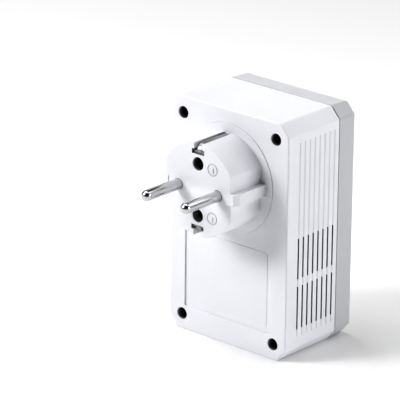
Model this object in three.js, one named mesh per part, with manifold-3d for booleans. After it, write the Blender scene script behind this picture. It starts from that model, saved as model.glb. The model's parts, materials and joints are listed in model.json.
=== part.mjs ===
// A plug-in powerline network adapter with a CEE 7/7 mains plug, as an assembly of separate pieces.
// Millimetres, +Z up. The origin is the middle of the plug's engagement face, between its two line pins.
// +Y points into the wall socket, so the front of the adapter faces -Y, and X = 0 is its middle plane.
import * as THREE from "three";
import { mergeVertices } from "three/addons/utils/BufferGeometryUtils.js";
import Module from "manifold-3d";

const wasm = await Module();
wasm.setup();

// ---- Driving dimensions ----

// Plug, to the CEE 7/7 pattern
const PIN_SPACING = 19;
const PIN_RADIUS = 2.05;
const PIN_LENGTH = 19;
const PLUG_RADIUS = 18;
const PLUG_HALF_FLAT = 15.8;
const PLUG_LENGTH = 17;
const PLUG_EDGE_BEVEL = 0.4;
const RIB_REACH = 18.4;
const RIB_HEIGHT = 4.4;
const RIB_FOLD = 14.2;
const RIB_PROUD = 0.35;
const RIB_LEAD_IN = 2.4;
const EARTH_OFFSET = 10;
const EARTH_HOLE_RADIUS = 2.55;
const FLANGE_RADIUS = 21.3;
const FLANGE_PROUD = 0.35;
const LIP_RADIUS = 23.5;

// Housing
const HALF_WIDTH = 28.5;
const TOP = 26.7;
const BOTTOM = -65.8;
const CORNER_X = 4;
const CORNER_Z = 4.5;
const CORNER_ROUND = 2.2;
const WALL = 2;
const REAR = -PLUG_LENGTH;
const REAR_DEPTH = 28.8;
const FRONT_DEPTH = 10;
const JOINT = REAR - REAR_DEPTH;
const FRONT = JOINT - FRONT_DEPTH;
const FRONT_INSIDE = FRONT + WALL;
const JOINT_GAP = 0.3;
const TONGUE_INSET = 1.1;
const TONGUE_REACH = 1.8;
const TONGUE_PLAY = 0.2;
const REAR_BEVEL = 0.6;
const FRONT_BEVEL = 1.5;

// Case screws, in deep towers at the corners
const SCREW_X = 22.4;
const SCREW_ZS = [20.3, -59.7];
const TOWER_RADIUS = 4.5;
const TOWER_END = -43;
const TOWER_HOLE_RADIUS = 2.3;
const TOWER_SHOULDER = -38;
const POST_RADIUS = 3.2;
const SHANK_RADIUS = 1.25;
const SHANK_HOLE_RADIUS = 1.6;
const PILOT_RADIUS = 1.35;
const PILOT_STOP = 1.2;

// Side vents: grooves over most of the height, cut through in two spans
const VENT_COUNT = 8;
const VENT_PITCH = 2.79;
const VENT_FIRST = REAR - 6.6;
const VENT_WIDTH = 0.84;
const VENT_SLOT_WIDTH = 0.75;
const VENT_GROOVE_DEPTH = 0.35;
const VENT_GROOVE_SPAN = [-57.1, 19.1];
const VENT_SLOT_SPANS = [
  [-54.1, -37.1],
  [-34.3, -18.2],
];

// Label recess on the rear face
const LABEL_HALF_WIDTH = 21.1;
const LABEL_TOP = -22.6;
const LABEL_BOTTOM = -56.2;
const LABEL_RECESS = 0.6;
const LABEL_THICKNESS = 0.15;
const LABEL_MARGIN = 2.2;

// Circuit boards, with notches that clear the screw towers and posts
const POWER_BOARD_REAR = -38;
const POWER_BOARD_FRONT = -39.6;
const POWER_BOARD_BOTTOM = -42.5;
const MAIN_BOARD_REAR = -44;
const MAIN_BOARD_FRONT = -45.2;
const MAIN_BOARD_BOTTOM = -62.8;
const BOARD_HALF_WIDTH = 24.5;
const BOARD_TOP = 23;
const NOTCH_X = 17.6;
const NOTCH_TOP = 15.5;
const NOTCH_BOTTOM = -55;
const RIB_ZS = [12, -12, -35.7];
const RIB_THICKNESS = 1.6;
const RIB_OVERLAP = 1.2;
const BOARD_SCREW_XS = [-20, 20];
const BOARD_SCREW_Z = -28;
const BOARD_POST_RADIUS = 2.8;
const SHEET_REAR = -41.6;
const SHEET_THICKNESS = 0.3;
const LINK_HALF_WIDTH = 8;
const LINK_Z = [-16.5, -11.5];

// Front panel: three status lights in a row and the pair button below them
const LED_XS = [-8, 0, 8];
const LED_Z = -24;
const LED_HEIGHT = 1.9;
const LED_HOLE_RADIUS = 1.6;
const BUTTON_Z = -38;
const BUTTON_HALF_LENGTH = 7;
const BUTTON_HALF_HEIGHT = 3;
const BUTTON_PROUD = 0.6;
const BUTTON_PLAY = 0.2;
const BUTTON_FLANGE = 1;

// Bottom: network port, with the latch side towards the front, and the reset pinhole
const JACK_HALF_WIDTH = 8;
const JACK_Y = [-43.7, -30.9];
const JACK_Z = [-65.5, -44.6];
const SHIELD_WALL = 0.4;
const PORT_HALF_WIDTH = 5.95;
const PORT_Y = [-41, -33];
const PORT_END = -50.5;
const LATCH_HALF_WIDTH = 3.05;
const LATCH_Y = -42.6;
const LATCH_END = -54;
const CONTACT_COUNT = 8;
const CONTACT_PITCH = 1.02;
const RESET_X = -13.5;
const RESET_Y = -41;
const RESET_HOLE_RADIUS = 1;

// Fits and fineness
const FIT = 0.1;
const CLEAR = 0.3;
const OVERCUT = 1;
const MERGE = 1e-4;
const SMALL_SIDES = 12;
const ROUND_SIDES = 16;
const SHAFT_SIDES = 24;
const LARGE_SIDES = 48;
const OUTLINE_STEPS = 3;
const PLUG_STEPS = 12;
const BUTTON_STEPS = 5;

// ---- Materials ----

const finish = (color, roughness, metalness = 0) =>
  new THREE.MeshStandardMaterial({ color, roughness, metalness });
const whiteShell = finish(0xf2f2f4, 0.5);
const greyShell = finish(0xd6d6da, 0.4);
const blackPlastic = finish(0x1b1b1d, 0.6);
const nickel = finish(0xb9babd, 0.25, 1);
const steel = finish(0x8f9195, 0.35, 1);
const aluminium = finish(0xb4b6ba, 0.4, 1);
const gold = finish(0xd8b45a, 0.3, 1);
const laminate = finish(0x1f5b3a, 0.55);
const ferrite = finish(0x35353a, 0.8);
const copper = finish(0xb5652c, 0.4, 0.6);
const tape = finish(0xe6c53c, 0.6);
const clear = finish(0xe8eef2, 0.1);
const labelFilm = finish(0xe4e5e9, 0.7);
const filmBox = finish(0xb9bcc2, 0.6);
const canSleeve = finish(0x2b2f45, 0.45);
const discCoat = finish(0x2f6fb3, 0.5);
const brownWire = finish(0x6e4326, 0.5);
const blueWire = finish(0x2c56a3, 0.5);
const earthWire = finish(0x8aa52d, 0.5);
const softSheet = finish(0x9fb7c6, 0.8);

// ---- Solids from three.js geometry ----

function solid(geometry) {
  const bare = geometry.index ? geometry.toNonIndexed() : geometry.clone();
  bare.deleteAttribute("normal");
  bare.deleteAttribute("uv");
  const merged = mergeVertices(bare, MERGE);
  const order = merged.index.array;
  const faces = [];
  for (let i = 0; i < order.length; i += 3) {
    const [a, b, c] = [order[i], order[i + 1], order[i + 2]];
    if (a !== b && b !== c && c !== a) faces.push([a, b, c]);
  }
  const vertProperties = merged.attributes.position.array;
  const build = (list) => {
    const triVerts = new Uint32Array(list.flat());
    return new wasm.Manifold(new wasm.Mesh({ numProp: 3, vertProperties, triVerts }));
  };
  const made = build(faces);
  return made.volume() < 0 ? build(faces.map((face) => face.toReversed())) : made;
}

function geometryOf(body) {
  const mesh = body.getMesh();
  const geometry = new THREE.BufferGeometry();
  geometry.setAttribute("position", new THREE.BufferAttribute(mesh.vertProperties, mesh.numProp));
  geometry.setIndex(new THREE.BufferAttribute(mesh.triVerts, 1));
  geometry.computeVertexNormals();
  return geometry;
}

const join = (first, ...rest) => rest.reduce((whole, piece) => whole.add(piece), first);
const cut = (first, ...rest) => rest.reduce((whole, piece) => whole.subtract(piece), first);

// A block between two limits on each axis, given in either order.
function block(xs, ys, zs) {
  const limits = [xs, ys, zs];
  const size = limits.map(([a, b]) => Math.abs(b - a));
  const middle = limits.map(([a, b]) => (a + b) / 2);
  return solid(new THREE.BoxGeometry(...size).translate(...middle));
}

// A block of given width (X) and height (Z) centred on (x, z).
const blockAt = (x, z, width, height, ys) =>
  block([x - width / 2, x + width / 2], ys, [z - height / 2, z + height / 2]);

// Round bars along Y and along Z.
function barY(x, z, radius, ys, sides = ROUND_SIDES) {
  const length = Math.abs(ys[1] - ys[0]);
  const bar = new THREE.CylinderGeometry(radius, radius, length, sides);
  return solid(bar.translate(x, (ys[0] + ys[1]) / 2, z));
}

function barZ(x, y, radius, zs, sides = ROUND_SIDES) {
  const length = Math.abs(zs[1] - zs[0]);
  const bar = new THREE.CylinderGeometry(radius, radius, length, sides).rotateX(Math.PI / 2);
  return solid(bar.translate(x, y, (zs[0] + zs[1]) / 2));
}

// A shape drawn in X and Z, run along Y from near to far. A bevel trims the edge at either end.
function slab(shape, near, far, { nearBevel = 0, farBevel = 0, curveSegments = OUTLINE_STEPS } = {}) {
  const bevel = Math.max(nearBevel, farBevel);
  const start = near + (nearBevel ? 0 : bevel);
  const end = far - (farBevel ? 0 : bevel);
  const geometry = new THREE.ExtrudeGeometry(shape, {
    depth: start - end - 2 * bevel,
    curveSegments,
    bevelEnabled: bevel > 0,
    bevelThickness: bevel,
    bevelSize: bevel,
    bevelOffset: -bevel,
    bevelSegments: 1,
  });
  const whole = solid(geometry.rotateX(Math.PI / 2).translate(0, start - bevel, 0));
  const room = HALF_WIDTH - BOTTOM;
  return bevel ? whole.intersect(block([-room, room], [near, far], [-room, room])) : whole;
}

// A body turned about an axis along Y through (x, z). The profile's points are [radius, y].
function turned(profile, x, z, sides = ROUND_SIDES) {
  const points = profile.map(([radius, y]) => new THREE.Vector2(radius, y));
  return solid(new THREE.LatheGeometry(points, sides).translate(x, 0, z));
}

// A closed outline through corners, each rounded to the same radius.
function roundedOutline(corners, radius) {
  const shape = new THREE.Shape();
  corners.forEach(([x, z], i) => {
    const corner = new THREE.Vector2(x, z);
    const neighbours = [corners.at(i - 1), corners[(i + 1) % corners.length]];
    const [before, after] = neighbours.map(([a, b]) => new THREE.Vector2(a, b).sub(corner).normalize());
    const run = radius / Math.tan(Math.acos(before.dot(after)) / 2);
    const [enter, leave] = [before, after].map((way) => way.clone().multiplyScalar(run).add(corner));
    if (i === 0) shape.moveTo(enter.x, enter.y);
    else shape.lineTo(enter.x, enter.y);
    shape.quadraticCurveTo(x, z, leave.x, leave.y);
  });
  shape.closePath();
  return shape;
}

// The housing's outline, a rectangle with cut corners, moved in by inset on every side.
function housingOutline(inset = 0) {
  const [right, top, bottom] = [HALF_WIDTH - inset, TOP - inset, BOTTOM + inset];
  const lost = inset * (CORNER_X + CORNER_Z - Math.hypot(CORNER_X, CORNER_Z));
  const [cornerX, cornerZ] = [CORNER_X - lost / CORNER_Z, CORNER_Z - lost / CORNER_X];
  const corners = [
    [right, bottom + cornerZ],
    [right, top - cornerZ],
    [right - cornerX, top],
    [cornerX - right, top],
    [-right, top - cornerZ],
    [-right, bottom + cornerZ],
    [cornerX - right, bottom],
    [right - cornerX, bottom],
  ];
  return roundedOutline(corners, Math.max(CLEAR, CORNER_ROUND - inset));
}

// A circle with two flats, facing +X and -X.
function flattedCircle(radius, halfFlat) {
  const turn = Math.acos(halfFlat / radius);
  const shape = new THREE.Shape();
  shape.absarc(0, 0, radius, turn, Math.PI - turn);
  shape.absarc(0, 0, radius, Math.PI + turn, 2 * Math.PI - turn);
  shape.closePath();
  return shape;
}

// A bar with round ends, lying along X and centred on (0, z).
function stadium(halfLength, halfHeight, z) {
  const shape = new THREE.Shape();
  const reach = halfLength - halfHeight;
  shape.absarc(reach, z, halfHeight, -Math.PI / 2, Math.PI / 2);
  shape.absarc(-reach, z, halfHeight, Math.PI / 2, (3 * Math.PI) / 2);
  shape.closePath();
  return shape;
}

// Every piece is a mesh of this group, placed in the shared frame.
const adapter = new THREE.Group();

function add(name, body, material) {
  const mesh = new THREE.Mesh(geometryOf(body), material);
  mesh.name = name;
  adapter.add(mesh);
}

const SIDES = [-1, 1];
const screwPlaces = SCREW_ZS.flatMap((z) => SIDES.map((side) => [side * SCREW_X, z]));

// ---- Rear housing and its label ----

function sideVents(side) {
  const outside = side * (HALF_WIDTH + OVERCUT);
  const cuts = [];
  for (let i = 0; i < VENT_COUNT; i++) {
    const y = VENT_FIRST - i * VENT_PITCH;
    const ys = [y - VENT_WIDTH / 2, y + VENT_WIDTH / 2];
    cuts.push(block([side * (HALF_WIDTH - VENT_GROOVE_DEPTH), outside], ys, VENT_GROOVE_SPAN));
    const slotYs = [ys[1] - VENT_SLOT_WIDTH, ys[1]];
    for (const zs of VENT_SLOT_SPANS) {
      cuts.push(block([side * (HALF_WIDTH - WALL - OVERCUT), outside], slotYs, zs));
    }
  }
  return cuts;
}

// Ribs on the side walls that the power board's edges rest on.
function boardRibs(side) {
  const xs = [side * (BOARD_HALF_WIDTH - RIB_OVERLAP), side * (HALF_WIDTH - WALL / 2)];
  const ys = [REAR - WALL / 2, POWER_BOARD_REAR + FIT];
  return RIB_ZS.map((z) => block(xs, ys, [z - RIB_THICKNESS / 2, z + RIB_THICKNESS / 2]));
}

function rearHousing() {
  const end = JOINT + JOINT_GAP / 2;
  const shell = cut(
    slab(housingOutline(), REAR, end, { nearBevel: REAR_BEVEL }),
    slab(housingOutline(WALL), REAR - WALL, end - OVERCUT),
  );
  const tongue = cut(
    slab(housingOutline(TONGUE_INSET), JOINT + WALL, JOINT - TONGUE_REACH),
    slab(housingOutline(WALL), JOINT + WALL + OVERCUT, JOINT - TONGUE_REACH - OVERCUT),
  );
  const towers = screwPlaces.map(([x, z]) => barY(x, z, TOWER_RADIUS, [REAR - WALL / 2, TOWER_END]));
  const bores = screwPlaces.flatMap(([x, z]) => [
    barY(x, z, TOWER_HOLE_RADIUS, [REAR + OVERCUT, TOWER_SHOULDER]),
    barY(x, z, SHANK_HOLE_RADIUS, [TOWER_SHOULDER + OVERCUT, TOWER_END - OVERCUT]),
  ]);
  const plugHole = barY(0, 0, FLANGE_RADIUS + 2 * FIT, [REAR + OVERCUT, REAR - WALL - OVERCUT], LARGE_SIDES);
  const labelRecess = block(
    [-LABEL_HALF_WIDTH, LABEL_HALF_WIDTH],
    [REAR + OVERCUT, REAR - LABEL_RECESS],
    [LABEL_BOTTOM, LABEL_TOP],
  );
  const throughBottom = [BOTTOM - OVERCUT, BOTTOM + WALL + OVERCUT];
  const portHole = block(
    [-JACK_HALF_WIDTH - CLEAR, JACK_HALF_WIDTH + CLEAR],
    [JACK_Y[0] - CLEAR, JACK_Y[1] + CLEAR],
    throughBottom,
  );
  const resetHole = barZ(RESET_X, RESET_Y, RESET_HOLE_RADIUS, throughBottom, SMALL_SIDES);
  return cut(
    join(shell, tongue, ...towers, ...SIDES.flatMap(boardRibs)),
    ...bores,
    plugHole,
    labelRecess,
    portHole,
    resetHole,
    ...SIDES.flatMap(sideVents),
  );
}

const labelPlate = block(
  [-LABEL_HALF_WIDTH + LABEL_MARGIN, LABEL_HALF_WIDTH - LABEL_MARGIN],
  [REAR - LABEL_RECESS, REAR - LABEL_RECESS + LABEL_THICKNESS],
  [LABEL_BOTTOM + LABEL_MARGIN, LABEL_TOP - LABEL_MARGIN],
);

add("rear_housing", rearHousing(), whiteShell);
add("rating_label", labelPlate, labelFilm);

// ---- Front cover ----

function frontCover() {
  const start = JOINT - JOINT_GAP / 2;
  const shell = cut(
    slab(housingOutline(), start, FRONT, { farBevel: FRONT_BEVEL }),
    slab(housingOutline(WALL), start + OVERCUT, FRONT_INSIDE),
    slab(housingOutline(TONGUE_INSET - TONGUE_PLAY), start + OVERCUT, JOINT - TONGUE_REACH - CLEAR),
  );
  const root = FRONT_INSIDE - WALL / 2;
  const posts = screwPlaces.map(([x, z]) => barY(x, z, POST_RADIUS, [TOWER_END - CLEAR, root]));
  const boardPosts = BOARD_SCREW_XS.map((x) =>
    barY(x, BOARD_SCREW_Z, BOARD_POST_RADIUS, [MAIN_BOARD_FRONT - CLEAR, root]),
  );
  const pilots = [...screwPlaces, ...BOARD_SCREW_XS.map((x) => [x, BOARD_SCREW_Z])].map(([x, z]) =>
    barY(x, z, PILOT_RADIUS, [TOWER_END, FRONT_INSIDE + PILOT_STOP], SMALL_SIDES),
  );
  const throughFront = [FRONT_INSIDE + OVERCUT, FRONT - OVERCUT];
  const ledHoles = LED_XS.map((x) => barY(x, LED_Z, LED_HOLE_RADIUS, throughFront));
  const buttonHole = slab(
    stadium(BUTTON_HALF_LENGTH + BUTTON_PLAY, BUTTON_HALF_HEIGHT + BUTTON_PLAY, BUTTON_Z),
    ...throughFront,
    { curveSegments: BUTTON_STEPS },
  );
  return cut(join(shell, ...posts, ...boardPosts), ...pilots, ...ledHoles, buttonHole);
}

add("front_cover", frontCover(), greyShell);

// ---- Mains plug ----

const FLANGE_REAR = REAR - WALL;
const LIP_FRONT = FLANGE_REAR - CLEAR;
const LIP_REAR = LIP_FRONT - WALL;
const SLOT_FLOOR = 13.7;
const SLOT_SHOULDER = 15.5;
const SLOT_HALF_WIDTH = 2.95;
const NECK_HALF_WIDTH = 1.9;
const COLLAR_RADIUS = 3.4;
const EARTH_BORE_RADIUS = 3.3;
const EARTH_STOP = -3.5;
const PLUG_SCREW_SEAT = -7;
const MARK_X = -7;
const MARK_Z = 9.4;
const MARK_RADIUS = 2.4;
const MARK_LINE = 0.4;
const MARK_HEIGHT = 0.2;
const MARK_BAR = { xs: [-7.55, -7.2], below: 1.3, above: 0.7 };

const pinPlaces = SIDES.map((side) => (side * PIN_SPACING) / 2);

// A raised ring round a short bar, a plain moulding mark on the engagement face.
function mouldMark(z) {
  const disc = barY(MARK_X, z, MARK_RADIUS, [-MARK_HEIGHT, MARK_HEIGHT]);
  const ring = cut(disc, barY(MARK_X, z, MARK_RADIUS - MARK_LINE, [-OVERCUT, OVERCUT]));
  const bar = block(MARK_BAR.xs, [-MARK_HEIGHT, MARK_HEIGHT], [z - MARK_BAR.below, z + MARK_BAR.above]);
  return join(ring, bar);
}

// A side rib. It starts with a lead-in slope and folds over the edge of the engagement face.
function sideRib(side) {
  const root = REAR - OVERCUT;
  const outline = [
    [RIB_FOLD, root],
    [RIB_FOLD, RIB_PROUD],
    [RIB_REACH - 0.9, RIB_PROUD],
    [RIB_REACH, -RIB_LEAD_IN],
    [RIB_REACH, root],
  ];
  const shape = new THREE.Shape(outline.map(([x, y]) => new THREE.Vector2(side * x, y)));
  const geometry = new THREE.ExtrudeGeometry(shape, { depth: RIB_HEIGHT, bevelEnabled: false });
  return solid(geometry.translate(0, 0, -RIB_HEIGHT / 2));
}

// A T-shaped slot for one side contact: a pocket under the skin and a neck open to the outside.
function contactSlot(way) {
  const outside = way * (PLUG_RADIUS + OVERCUT);
  const pocket = block(
    [-SLOT_HALF_WIDTH, SLOT_HALF_WIDTH],
    [OVERCUT, LIP_REAR - OVERCUT],
    [way * SLOT_FLOOR, way * SLOT_SHOULDER],
  );
  const neck = block(
    [-NECK_HALF_WIDTH, NECK_HALF_WIDTH],
    [OVERCUT, REAR + FLANGE_PROUD + FIT],
    [way * SLOT_FLOOR, outside],
  );
  return join(pocket, neck);
}

function plugBody() {
  const root = REAR - OVERCUT;
  const barrel = slab(flattedCircle(PLUG_RADIUS, PLUG_HALF_FLAT), 0, root, {
    nearBevel: PLUG_EDGE_BEVEL,
    curveSegments: PLUG_STEPS,
  });
  const flange = barY(0, 0, FLANGE_RADIUS, [REAR + FLANGE_PROUD, FLANGE_REAR - OVERCUT], LARGE_SIDES);
  const lip = barY(0, 0, LIP_RADIUS, [LIP_FRONT, LIP_REAR], LARGE_SIDES);
  const pinBores = pinPlaces.flatMap((x) => [
    barY(x, 0, PIN_RADIUS + FIT, [OVERCUT, LIP_REAR - OVERCUT], SHAFT_SIDES),
    barY(x, 0, COLLAR_RADIUS + 2 * FIT, [LIP_FRONT, LIP_REAR - OVERCUT]),
  ]);
  const earthBores = [
    barY(0, EARTH_OFFSET, EARTH_HOLE_RADIUS, [OVERCUT, EARTH_STOP - OVERCUT]),
    barY(0, EARTH_OFFSET, EARTH_BORE_RADIUS, [EARTH_STOP, LIP_REAR - OVERCUT]),
  ];
  const screwBores = [
    barY(0, -EARTH_OFFSET, EARTH_HOLE_RADIUS, [OVERCUT, PLUG_SCREW_SEAT]),
    barY(0, -EARTH_OFFSET, SHANK_HOLE_RADIUS, [PLUG_SCREW_SEAT + OVERCUT, LIP_REAR - OVERCUT], SMALL_SIDES),
  ];
  const body = join(barrel, ...SIDES.map(sideRib), flange, lip, mouldMark(MARK_Z), mouldMark(-MARK_Z));
  return cut(body, ...pinBores, ...earthBores, ...screwBores, ...SIDES.map(contactSlot));
}

add("plug_body", plugBody(), whiteShell);

// A line pin: a round nose, the shaft, a collar that seats in the plug's rear, and a solder tail.
const TAIL_RADIUS = 1.5;
const TAIL_END = -26;

function linePin(x) {
  const noseAngles = [0, 1, 2, 3].map((step) => (step * Math.PI) / 6);
  const noseCentre = PIN_LENGTH - PIN_RADIUS;
  const profile = [
    ...noseAngles.map((a) => [PIN_RADIUS * Math.sin(a), noseCentre + PIN_RADIUS * Math.cos(a)]),
    [PIN_RADIUS, LIP_FRONT - CLEAR],
    [COLLAR_RADIUS, LIP_FRONT - CLEAR],
    [COLLAR_RADIUS, LIP_REAR],
    [TAIL_RADIUS, LIP_REAR],
    [TAIL_RADIUS, TAIL_END],
    [0, TAIL_END],
  ];
  return turned(profile, x, 0, SHAFT_SIDES);
}

add("pin_line", linePin(PIN_SPACING / 2), nickel);
add("pin_neutral", linePin(-PIN_SPACING / 2), nickel);

// The earth strap: two side contacts joined behind the plug body by a flat bridge with a solder tab.
const BRIDGE_FRONT = LIP_REAR - FIT;
const BRIDGE_REAR = BRIDGE_FRONT - 0.8;
const CONTACT_FOOT = [13.9, 14.8];
const CONTACT_CREST = 17.6;
const CONTACT_START = -0.8;
const TAB_Z = 4;
const TAB_END = -27;

function earthContact(way) {
  const foot = block(
    [-SLOT_HALF_WIDTH + CLEAR, SLOT_HALF_WIDTH - CLEAR],
    [CONTACT_START, BRIDGE_FRONT],
    CONTACT_FOOT.map((z) => way * z),
  );
  const ridge = block(
    [-NECK_HALF_WIDTH + CLEAR, NECK_HALF_WIDTH - CLEAR],
    [CONTACT_START, REAR + FLANGE_PROUD + CLEAR],
    [way * (CONTACT_FOOT[0] + FIT), way * CONTACT_CREST],
  );
  const [size, tilt] = [8, 0.9];
  const nose = new THREE.BoxGeometry(size, size / 2, size).rotateX(way * tilt);
  return cut(join(foot, ridge), solid(nose.translate(0, 0, way * (CONTACT_CREST + 1.3))));
}

function earthStrap() {
  const bridge = block([-3.5, 3.5], [BRIDGE_FRONT, BRIDGE_REAR], [-CONTACT_FOOT[1], CONTACT_FOOT[1]]);
  const tab = blockAt(0, TAB_Z, 3, 0.8, [BRIDGE_REAR + FIT, TAB_END]);
  const screwHole = barY(0, -EARTH_OFFSET, SHANK_HOLE_RADIUS + FIT, [LIP_FRONT, TAB_END], SMALL_SIDES);
  return cut(join(...SIDES.map(earthContact), bridge, tab), screwHole);
}

add("earth_strap", earthStrap(), nickel);

// The sleeve that takes the earth pin of a French socket.
const sleeveFront = EARTH_STOP - 0.5;
const sleeveRear = BRIDGE_FRONT + CLEAR;
const earthSocket = cut(
  barY(0, EARTH_OFFSET, EARTH_BORE_RADIUS - FIT, [sleeveFront, sleeveRear]),
  barY(0, EARTH_OFFSET, EARTH_HOLE_RADIUS - FIT / 2, [sleeveFront + OVERCUT, sleeveRear + 1]),
);
add("earth_socket", earthSocket, nickel);

// The plate that clamps the pins and the strap into the plug body.
const RETAINER_FRONT = BRIDGE_REAR - CLEAR;
const RETAINER_REAR = RETAINER_FRONT - 2;
const BOSS_END = -27.5;

function plugRetainer() {
  const plate = slab(flattedCircle(19.5, 16), RETAINER_FRONT, RETAINER_REAR, { curveSegments: PLUG_STEPS });
  const pinBosses = pinPlaces.map((x) => barY(x, 0, COLLAR_RADIUS, [LIP_REAR - FIT, RETAINER_REAR + FIT]));
  const screwBoss = barY(0, -EARTH_OFFSET, 3, [RETAINER_FRONT - FIT, BOSS_END]);
  const through = [LIP_FRONT, TAB_END - OVERCUT];
  const tailHoles = pinPlaces.map((x) => barY(x, 0, TAIL_RADIUS + CLEAR, through));
  const tabHole = blockAt(0, TAB_Z, 3 + 2 * CLEAR, 0.8 + 2 * CLEAR, through);
  const pilot = barY(0, -EARTH_OFFSET, PILOT_RADIUS, through, SMALL_SIDES);
  return cut(join(plate, ...pinBosses, screwBoss), ...tailHoles, tabHole, pilot);
}

add("plug_retainer", plugRetainer(), blackPlastic);

// ---- Screws ----

// A self-tapping screw with a crossed drive, its head towards +Y and seated at y.
function screw(x, z, y, { headRadius, headHeight, shankRadius, length }) {
  const body = turned(
    [
      [0, y + headHeight],
      [headRadius * 0.7, y + headHeight],
      [headRadius, y + headHeight / 2],
      [headRadius, y],
      [shankRadius, y],
      [shankRadius, y - length + 1],
      [0, y - length],
    ],
    x,
    z,
    SMALL_SIDES,
  );
  const [slotLength, slotWidth] = [headRadius * 1.24, headRadius * 0.28];
  const depth = [y + headHeight + OVERCUT, y + headHeight * 0.4];
  return cut(body, blockAt(x, z, slotLength, slotWidth, depth), blockAt(x, z, slotWidth, slotLength, depth));
}

const caseScrew = { headRadius: 2.15, headHeight: 1.8, shankRadius: SHANK_RADIUS, length: 13.5 };
const plugScrew = { headRadius: 2.3, headHeight: 1.6, shankRadius: SHANK_RADIUS, length: 20 };
const boardScrew = { headRadius: 2.1, headHeight: 1.5, shankRadius: 1.1, length: 7 };

screwPlaces.forEach(([x, z], i) => add(`case_screw_${i + 1}`, screw(x, z, TOWER_SHOULDER, caseScrew), steel));
add("plug_screw", screw(0, -EARTH_OFFSET, PLUG_SCREW_SEAT, plugScrew), steel);
BOARD_SCREW_XS.forEach((x, i) =>
  add(`board_screw_${i + 1}`, screw(x, BOARD_SCREW_Z, MAIN_BOARD_REAR, boardScrew), steel),
);

// ---- Leads from the plug to the power board ----

const LEAD_RADIUS = 0.9;
const LEAD_END = POWER_BOARD_REAR + CLEAR;

function lead(points) {
  const path = new THREE.CatmullRomCurve3(points.map((point) => new THREE.Vector3(...point)));
  const section = new THREE.Shape();
  section.absarc(0, 0, LEAD_RADIUS, 0, 2 * Math.PI);
  const options = { steps: 10, curveSegments: 4, bevelEnabled: false, extrudePath: path };
  return solid(new THREE.ExtrudeGeometry(section, options));
}

const lineRoute = (side) => [
  [side * 9.5, TAIL_END - CLEAR, 0],
  [side * 9.5, -28.5, -0.3],
  [side * 8.6, -31.5, -2.5],
  [side * 6.4, -34, -6],
  [side * 6, -36, -8],
  [side * 6, LEAD_END, -8.4],
];
const earthRoute = [
  [0, TAB_END - CLEAR, TAB_Z],
  [0, -29.5, 4.2],
  [0, -32.5, 6],
  [0, -35.5, 7.6],
  [0, LEAD_END, 8],
];
add("line_lead", lead(lineRoute(1)), brownWire);
add("neutral_lead", lead(lineRoute(-1)), blueWire);
add("earth_lead", lead(earthRoute), earthWire);

// ---- Power board and what stands on its rear face ----

function topNotches(ys) {
  const zs = [NOTCH_TOP, BOARD_TOP + OVERCUT];
  return SIDES.map((side) => block([side * NOTCH_X, side * (BOARD_HALF_WIDTH + OVERCUT)], ys, zs));
}

const powerBoard = cut(
  block(
    [-BOARD_HALF_WIDTH, BOARD_HALF_WIDTH],
    [POWER_BOARD_REAR, POWER_BOARD_FRONT],
    [POWER_BOARD_BOTTOM, BOARD_TOP],
  ),
  ...topNotches([POWER_BOARD_REAR + OVERCUT, POWER_BOARD_FRONT - OVERCUT]),
);
add("power_board", powerBoard, laminate);

// A can with a crimped foot and a scored top, such as an electrolytic capacitor or a round fuse.
function can({ x, z, radius, height }) {
  const foot = POWER_BOARD_REAR;
  const top = foot + height;
  const edge = 0.4;
  const body = turned(
    [
      [0, foot],
      [radius, foot],
      [radius, foot + 3 * edge],
      [radius - edge, foot + 4 * edge],
      [radius, foot + 5 * edge],
      [radius, top - edge],
      [radius - edge, top],
      [0, top],
    ],
    x,
    z,
  );
  return cut(body, blockAt(x, z, radius * 1.2, 0.3, [top - edge / 2, top + OVERCUT]));
}

const cans = {
  bulk_capacitor_1: { x: 1.5, z: -29, radius: 5, height: 16 },
  bulk_capacitor_2: { x: 13, z: -29, radius: 5, height: 16 },
  output_capacitor_1: { x: 2, z: -38.6, radius: 3.15, height: 11 },
  output_capacitor_2: { x: 10, z: -38.6, radius: 3.15, height: 11 },
  fuse: { x: -3.8, z: 18.6, radius: 4.1, height: 8 },
};
Object.entries(cans).forEach(([name, place]) => add(name, can(place), name === "fuse" ? blackPlastic : canSleeve));

// Box-shaped components. Each is centred on (x, z); width is along X, height along Z, and depth off the board.
const powerBoxes = {
  x_capacitor: { x: -14.5, z: 11.3, width: 15, height: 7, depth: 10.5, material: filmBox },
  coupling_capacitor: { x: -16, z: -13.5, width: 12, height: 5, depth: 9, material: filmBox },
  coupling_transformer: { x: -16.6, z: -3, width: 11, height: 10.5, depth: 8, material: blackPlastic },
  optocoupler: { x: 0, z: -17.5, width: 6.5, height: 4.6, depth: 3.6, material: blackPlastic },
  bridge_rectifier: { x: 15, z: -14.5, width: 8, height: 6.5, depth: 2.6, material: blackPlastic },
};
for (const [name, { x, z, width, height, depth, material }] of Object.entries(powerBoxes)) {
  add(name, blockAt(x, z, width, height, [POWER_BOARD_REAR, POWER_BOARD_REAR + depth]), material);
}

// A coated disc standing on its edge, with its two legs joined into a foot.
function discPart(x, z, radius, thickness) {
  const middle = POWER_BOARD_REAR + 1 + radius;
  const plate = barZ(x, middle, radius, [z - thickness / 2, z + thickness / 2]);
  return join(plate, blockAt(x, z, 5.2, 0.8, [POWER_BOARD_REAR, middle]));
}

add("varistor", discPart(8.5, 18.5, 4.5, 3.5), discCoat);
add("y_capacitor", discPart(16, -6.5, 3.4, 3), discCoat);

// The common-mode choke: a ferrite ring with a copper winding on either side.
const CHOKE = { x: 16, z: 6.5, inner: 3.6, outer: 6.2, near: -31.4, far: -36.6 };
const WINDING_LAYER = 1;
const WINDING_SPLIT = 1.2;

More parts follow.
